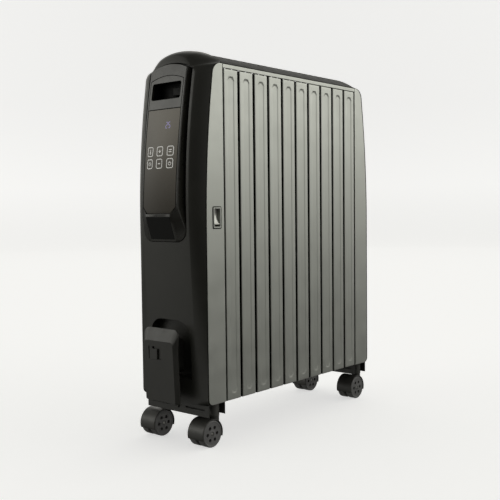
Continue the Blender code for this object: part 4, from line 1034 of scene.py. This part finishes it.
def make_casters():
    body, right_wheel = caster_body(), wheel()
    left_wheel = mirrored(right_wheel, 0)
    sleeve = collar_sleeve()
    axle = lathe([(-0.0165, 0.0010), (-0.0163, 0.0022), (-0.0158, 0.0026), (0.0158, 0.0026),
                  (0.0163, 0.0022), (0.0165, 0.0010)], "x", 28)
    for end, shift in (("front", 0.0), ("rear", REAR_SHIFT)):
        for label, x in (("left", -CASTER_X), ("right", CASTER_X)):
            name = f"caster_{end}_{label}"
            stem = (x, STEM_Y + shift, 0.0)
            hub = (x, STEM_Y + shift - TRAIL, AXLE_Z)
            piece(f"{name}_hood", moved(body, stem), NYLON, name, [f"{name}_body"], 35)
            piece(f"{name}_sleeve", moved(sleeve, stem), COLLAR, name)
            piece(f"{name}_pin", moved(axle, hub), ZINC, name, [f"{name}_axle"])
            for side, mesh in (("left", left_wheel), ("right", right_wheel)):
                node = f"{name}_wheel_{side}"
                piece(f"{node}_tread", moved(mesh, hub), WHEEL, node, [node], 35)


# ---------------------------------------------------------------- carried-over CAD nodes
def dress_nodes():
    finishes = {
        "heating_element": COPPER, "element_flange": ZINC, "header_plug_lower_rear": ZINC,
        "header_plug_upper_rear": ZINC, "header_plug_upper_front": ZINC, "thermal_cutout": MODULE,
        "terminal_block": PALE, "tip_over_switch": MODULE, "tip_over_pendulum": ZINC,
        "control_board": BOARD, "display_module": MODULE,
    }
    for end in ("front", "rear"):
        finishes[f"bracket_screw_{end}"] = BRACKET
        for label in ("left", "right"):
            finishes[f"bracket_bolt_{end}_{label}"] = ZINC
    for node, material in finishes.items():
        mesh = nodes[node].data
        mesh.materials.clear()
        mesh.materials.append(material)


# ---------------------------------------------------------------- stage, light and camera
SKY_LOW, SKY_HIGH, SKY_BELOW = -0.10, 0.20, 0.10
SKY_BASE, SKY_RIGHT, SKY_FRONT, SKY_TOP = 0.03, 1.40, 2.5, 0.15
SKY_TINT = (1.0, 0.992, 0.93, 1.0)
FLOOR_GLOW, WALL_GLOW, GLOW_RISE = 0.575, 0.675, 0.6
FLAT_RADIUS, SWEEP_RADIUS, WALL_TOP, STAGE_SIDES = 6.0, 1.5, 5.0, 96
CAMERA_YAW, CAMERA_PITCH, CAMERA_ROLL = 40.14, -3.03, -0.626
CAMERA_PLACE, CAMERA_LENS = (0.9704, -0.9947, 0.394), 58.42


def make_stage():
    """A pale sweep: flat floor that curves up into a distant backdrop on every side."""
    profile = [(r, 0.0) for r in (0.02, 0.5, 1.5, 4.0, FLAT_RADIUS)]
    profile += [(FLAT_RADIUS + SWEEP_RADIUS * math.sin(a), SWEEP_RADIUS - SWEEP_RADIUS * math.cos(a))
                for a in (math.radians(10 * i) for i in range(1, 10))]
    profile += [(FLAT_RADIUS + SWEEP_RADIUS, z) for z in (3.0, WALL_TOP)]
    rows = [[(x, y, z - 0.0002) for x, y in circle(r, STAGE_SIDES)] for r, z in profile]
    bm = bmesh.new()
    rings = [[bm.verts.new(p) for p in row] for row in rows]
    for low, high in zip(rings, rings[1:]):
        for i in range(STAGE_SIDES):
            j = (i + 1) % STAGE_SIDES
            bm.faces.new((low[i], low[j], high[j], high[i]))
    bm.faces.new(rings[0])
    bmesh.ops.recalc_face_normals(bm, faces=bm.faces)
    mesh = to_mesh(bm)
    tree = FLOOR.node_tree
    split = add(tree, "SeparateXYZ", Vector=add(tree, "TexCoord").outputs["Object"])
    level = add(tree, "MapRange", Value=split.outputs["Z"], From_Max=GLOW_RISE,
                To_Min=FLOOR_GLOW, To_Max=WALL_GLOW)
    feed(tree, tree.nodes["Principled BSDF"], Specular_IOR_Level=0.0,
         Emission_Strength=level.outputs["Result"])
    mesh.materials.append(FLOOR)
    mesh.shade_smooth()
    floor = bpy.data.objects.new("pale_floor", mesh)
    bpy.context.scene.collection.objects.link(floor)
    floor.visible_glossy = False
    floor.visible_diffuse = False


def sky(tree, direction):
    """Studio brightness by direction: dark below the horizon, bright above, and by azimuth."""
    def maths(operation, *terms):
        node = add(tree, "Math", operation)
        for socket, value in zip(node.inputs, terms):
            put(tree, socket, value)
        return node.outputs[0]

    def span(value, low, high, start, end, blend="SMOOTHSTEP"):
        node = add(tree, "MapRange", Value=value, From_Min=low, From_Max=high, To_Min=start, To_Max=end)
        node.interpolation_type = blend
        return node.outputs["Result"]

    def toward(vector):
        node = add(tree, "VectorMath", "DOT_PRODUCT", Vector=direction)
        node.inputs[1].default_value = vector
        return node.outputs["Value"]

    height = toward((0.0, 0.0, 1.0))
    rise = span(height, SKY_LOW, SKY_HIGH, SKY_BELOW, 1.0)
    fade = span(height, 0.45, 0.95, 1.0, SKY_TOP)
    right_bank = span(toward((0.09, 1.0, 0.0)), -0.92, 0.95, 0.0, SKY_RIGHT, "LINEAR")
    front_box = maths("MULTIPLY", span(toward((-0.64, -0.76, 0.0)), 0.70, 0.97, 0.0, SKY_FRONT),
                      span(height, 0.0, 0.38, 0.16, 1.0))
    front_box = maths("MULTIPLY", front_box, span(height, 0.36, 0.62, 1.0, 0.35))
    banks = maths("ADD", maths("MULTIPLY", right_bank, rise), front_box)
    return maths("ADD", maths("MULTIPLY", banks, fade), SKY_BASE)


def make_light():
    world = bpy.data.worlds.new("studio")
    bpy.context.scene.world = world
    world.use_nodes = True
    tree = world.node_tree
    strength = sky(tree, add(tree, "TexCoord").outputs["Generated"])
    feed(tree, tree.nodes["Background"], Color=SKY_TINT, Strength=strength)
    bpy.context.scene.view_settings.view_transform = "Standard"


def make_camera():
    yaw, pitch, roll = (math.radians(a) for a in (CAMERA_YAW, CAMERA_PITCH, CAMERA_ROLL))
    forward = Vector((-math.sin(yaw) * math.cos(pitch), math.cos(yaw) * math.cos(pitch), math.sin(pitch)))
    level = Vector((math.cos(yaw), math.sin(yaw), 0.0))
    above = level.cross(forward)
    right = level * math.cos(roll) + above * math.sin(roll)
    up = above * math.cos(roll) - level * math.sin(roll)
    data = bpy.data.cameras.new("photo_view")
    data.lens = CAMERA_LENS
    data.sensor_width = 36.0
    camera = bpy.data.objects.new("photo_view", data)
    place = Vector(CAMERA_PLACE) + Vector((0.0, SEAM_Y, 0.0))
    camera.matrix_world = Matrix.Translation(place) @ Matrix((right, up, -forward)).transposed().to_4x4()
    bpy.context.scene.collection.objects.link(camera)
    bpy.context.scene.camera = camera


make_camera()
make_stage()
make_light()
make_fins()
make_end_panels()
make_rails()
make_top_cover()
make_front_housing()
make_rear_cover()
make_pod()
make_icons()
make_cord_store()
make_rocker()
make_brackets()
make_casters()
dress_nodes()
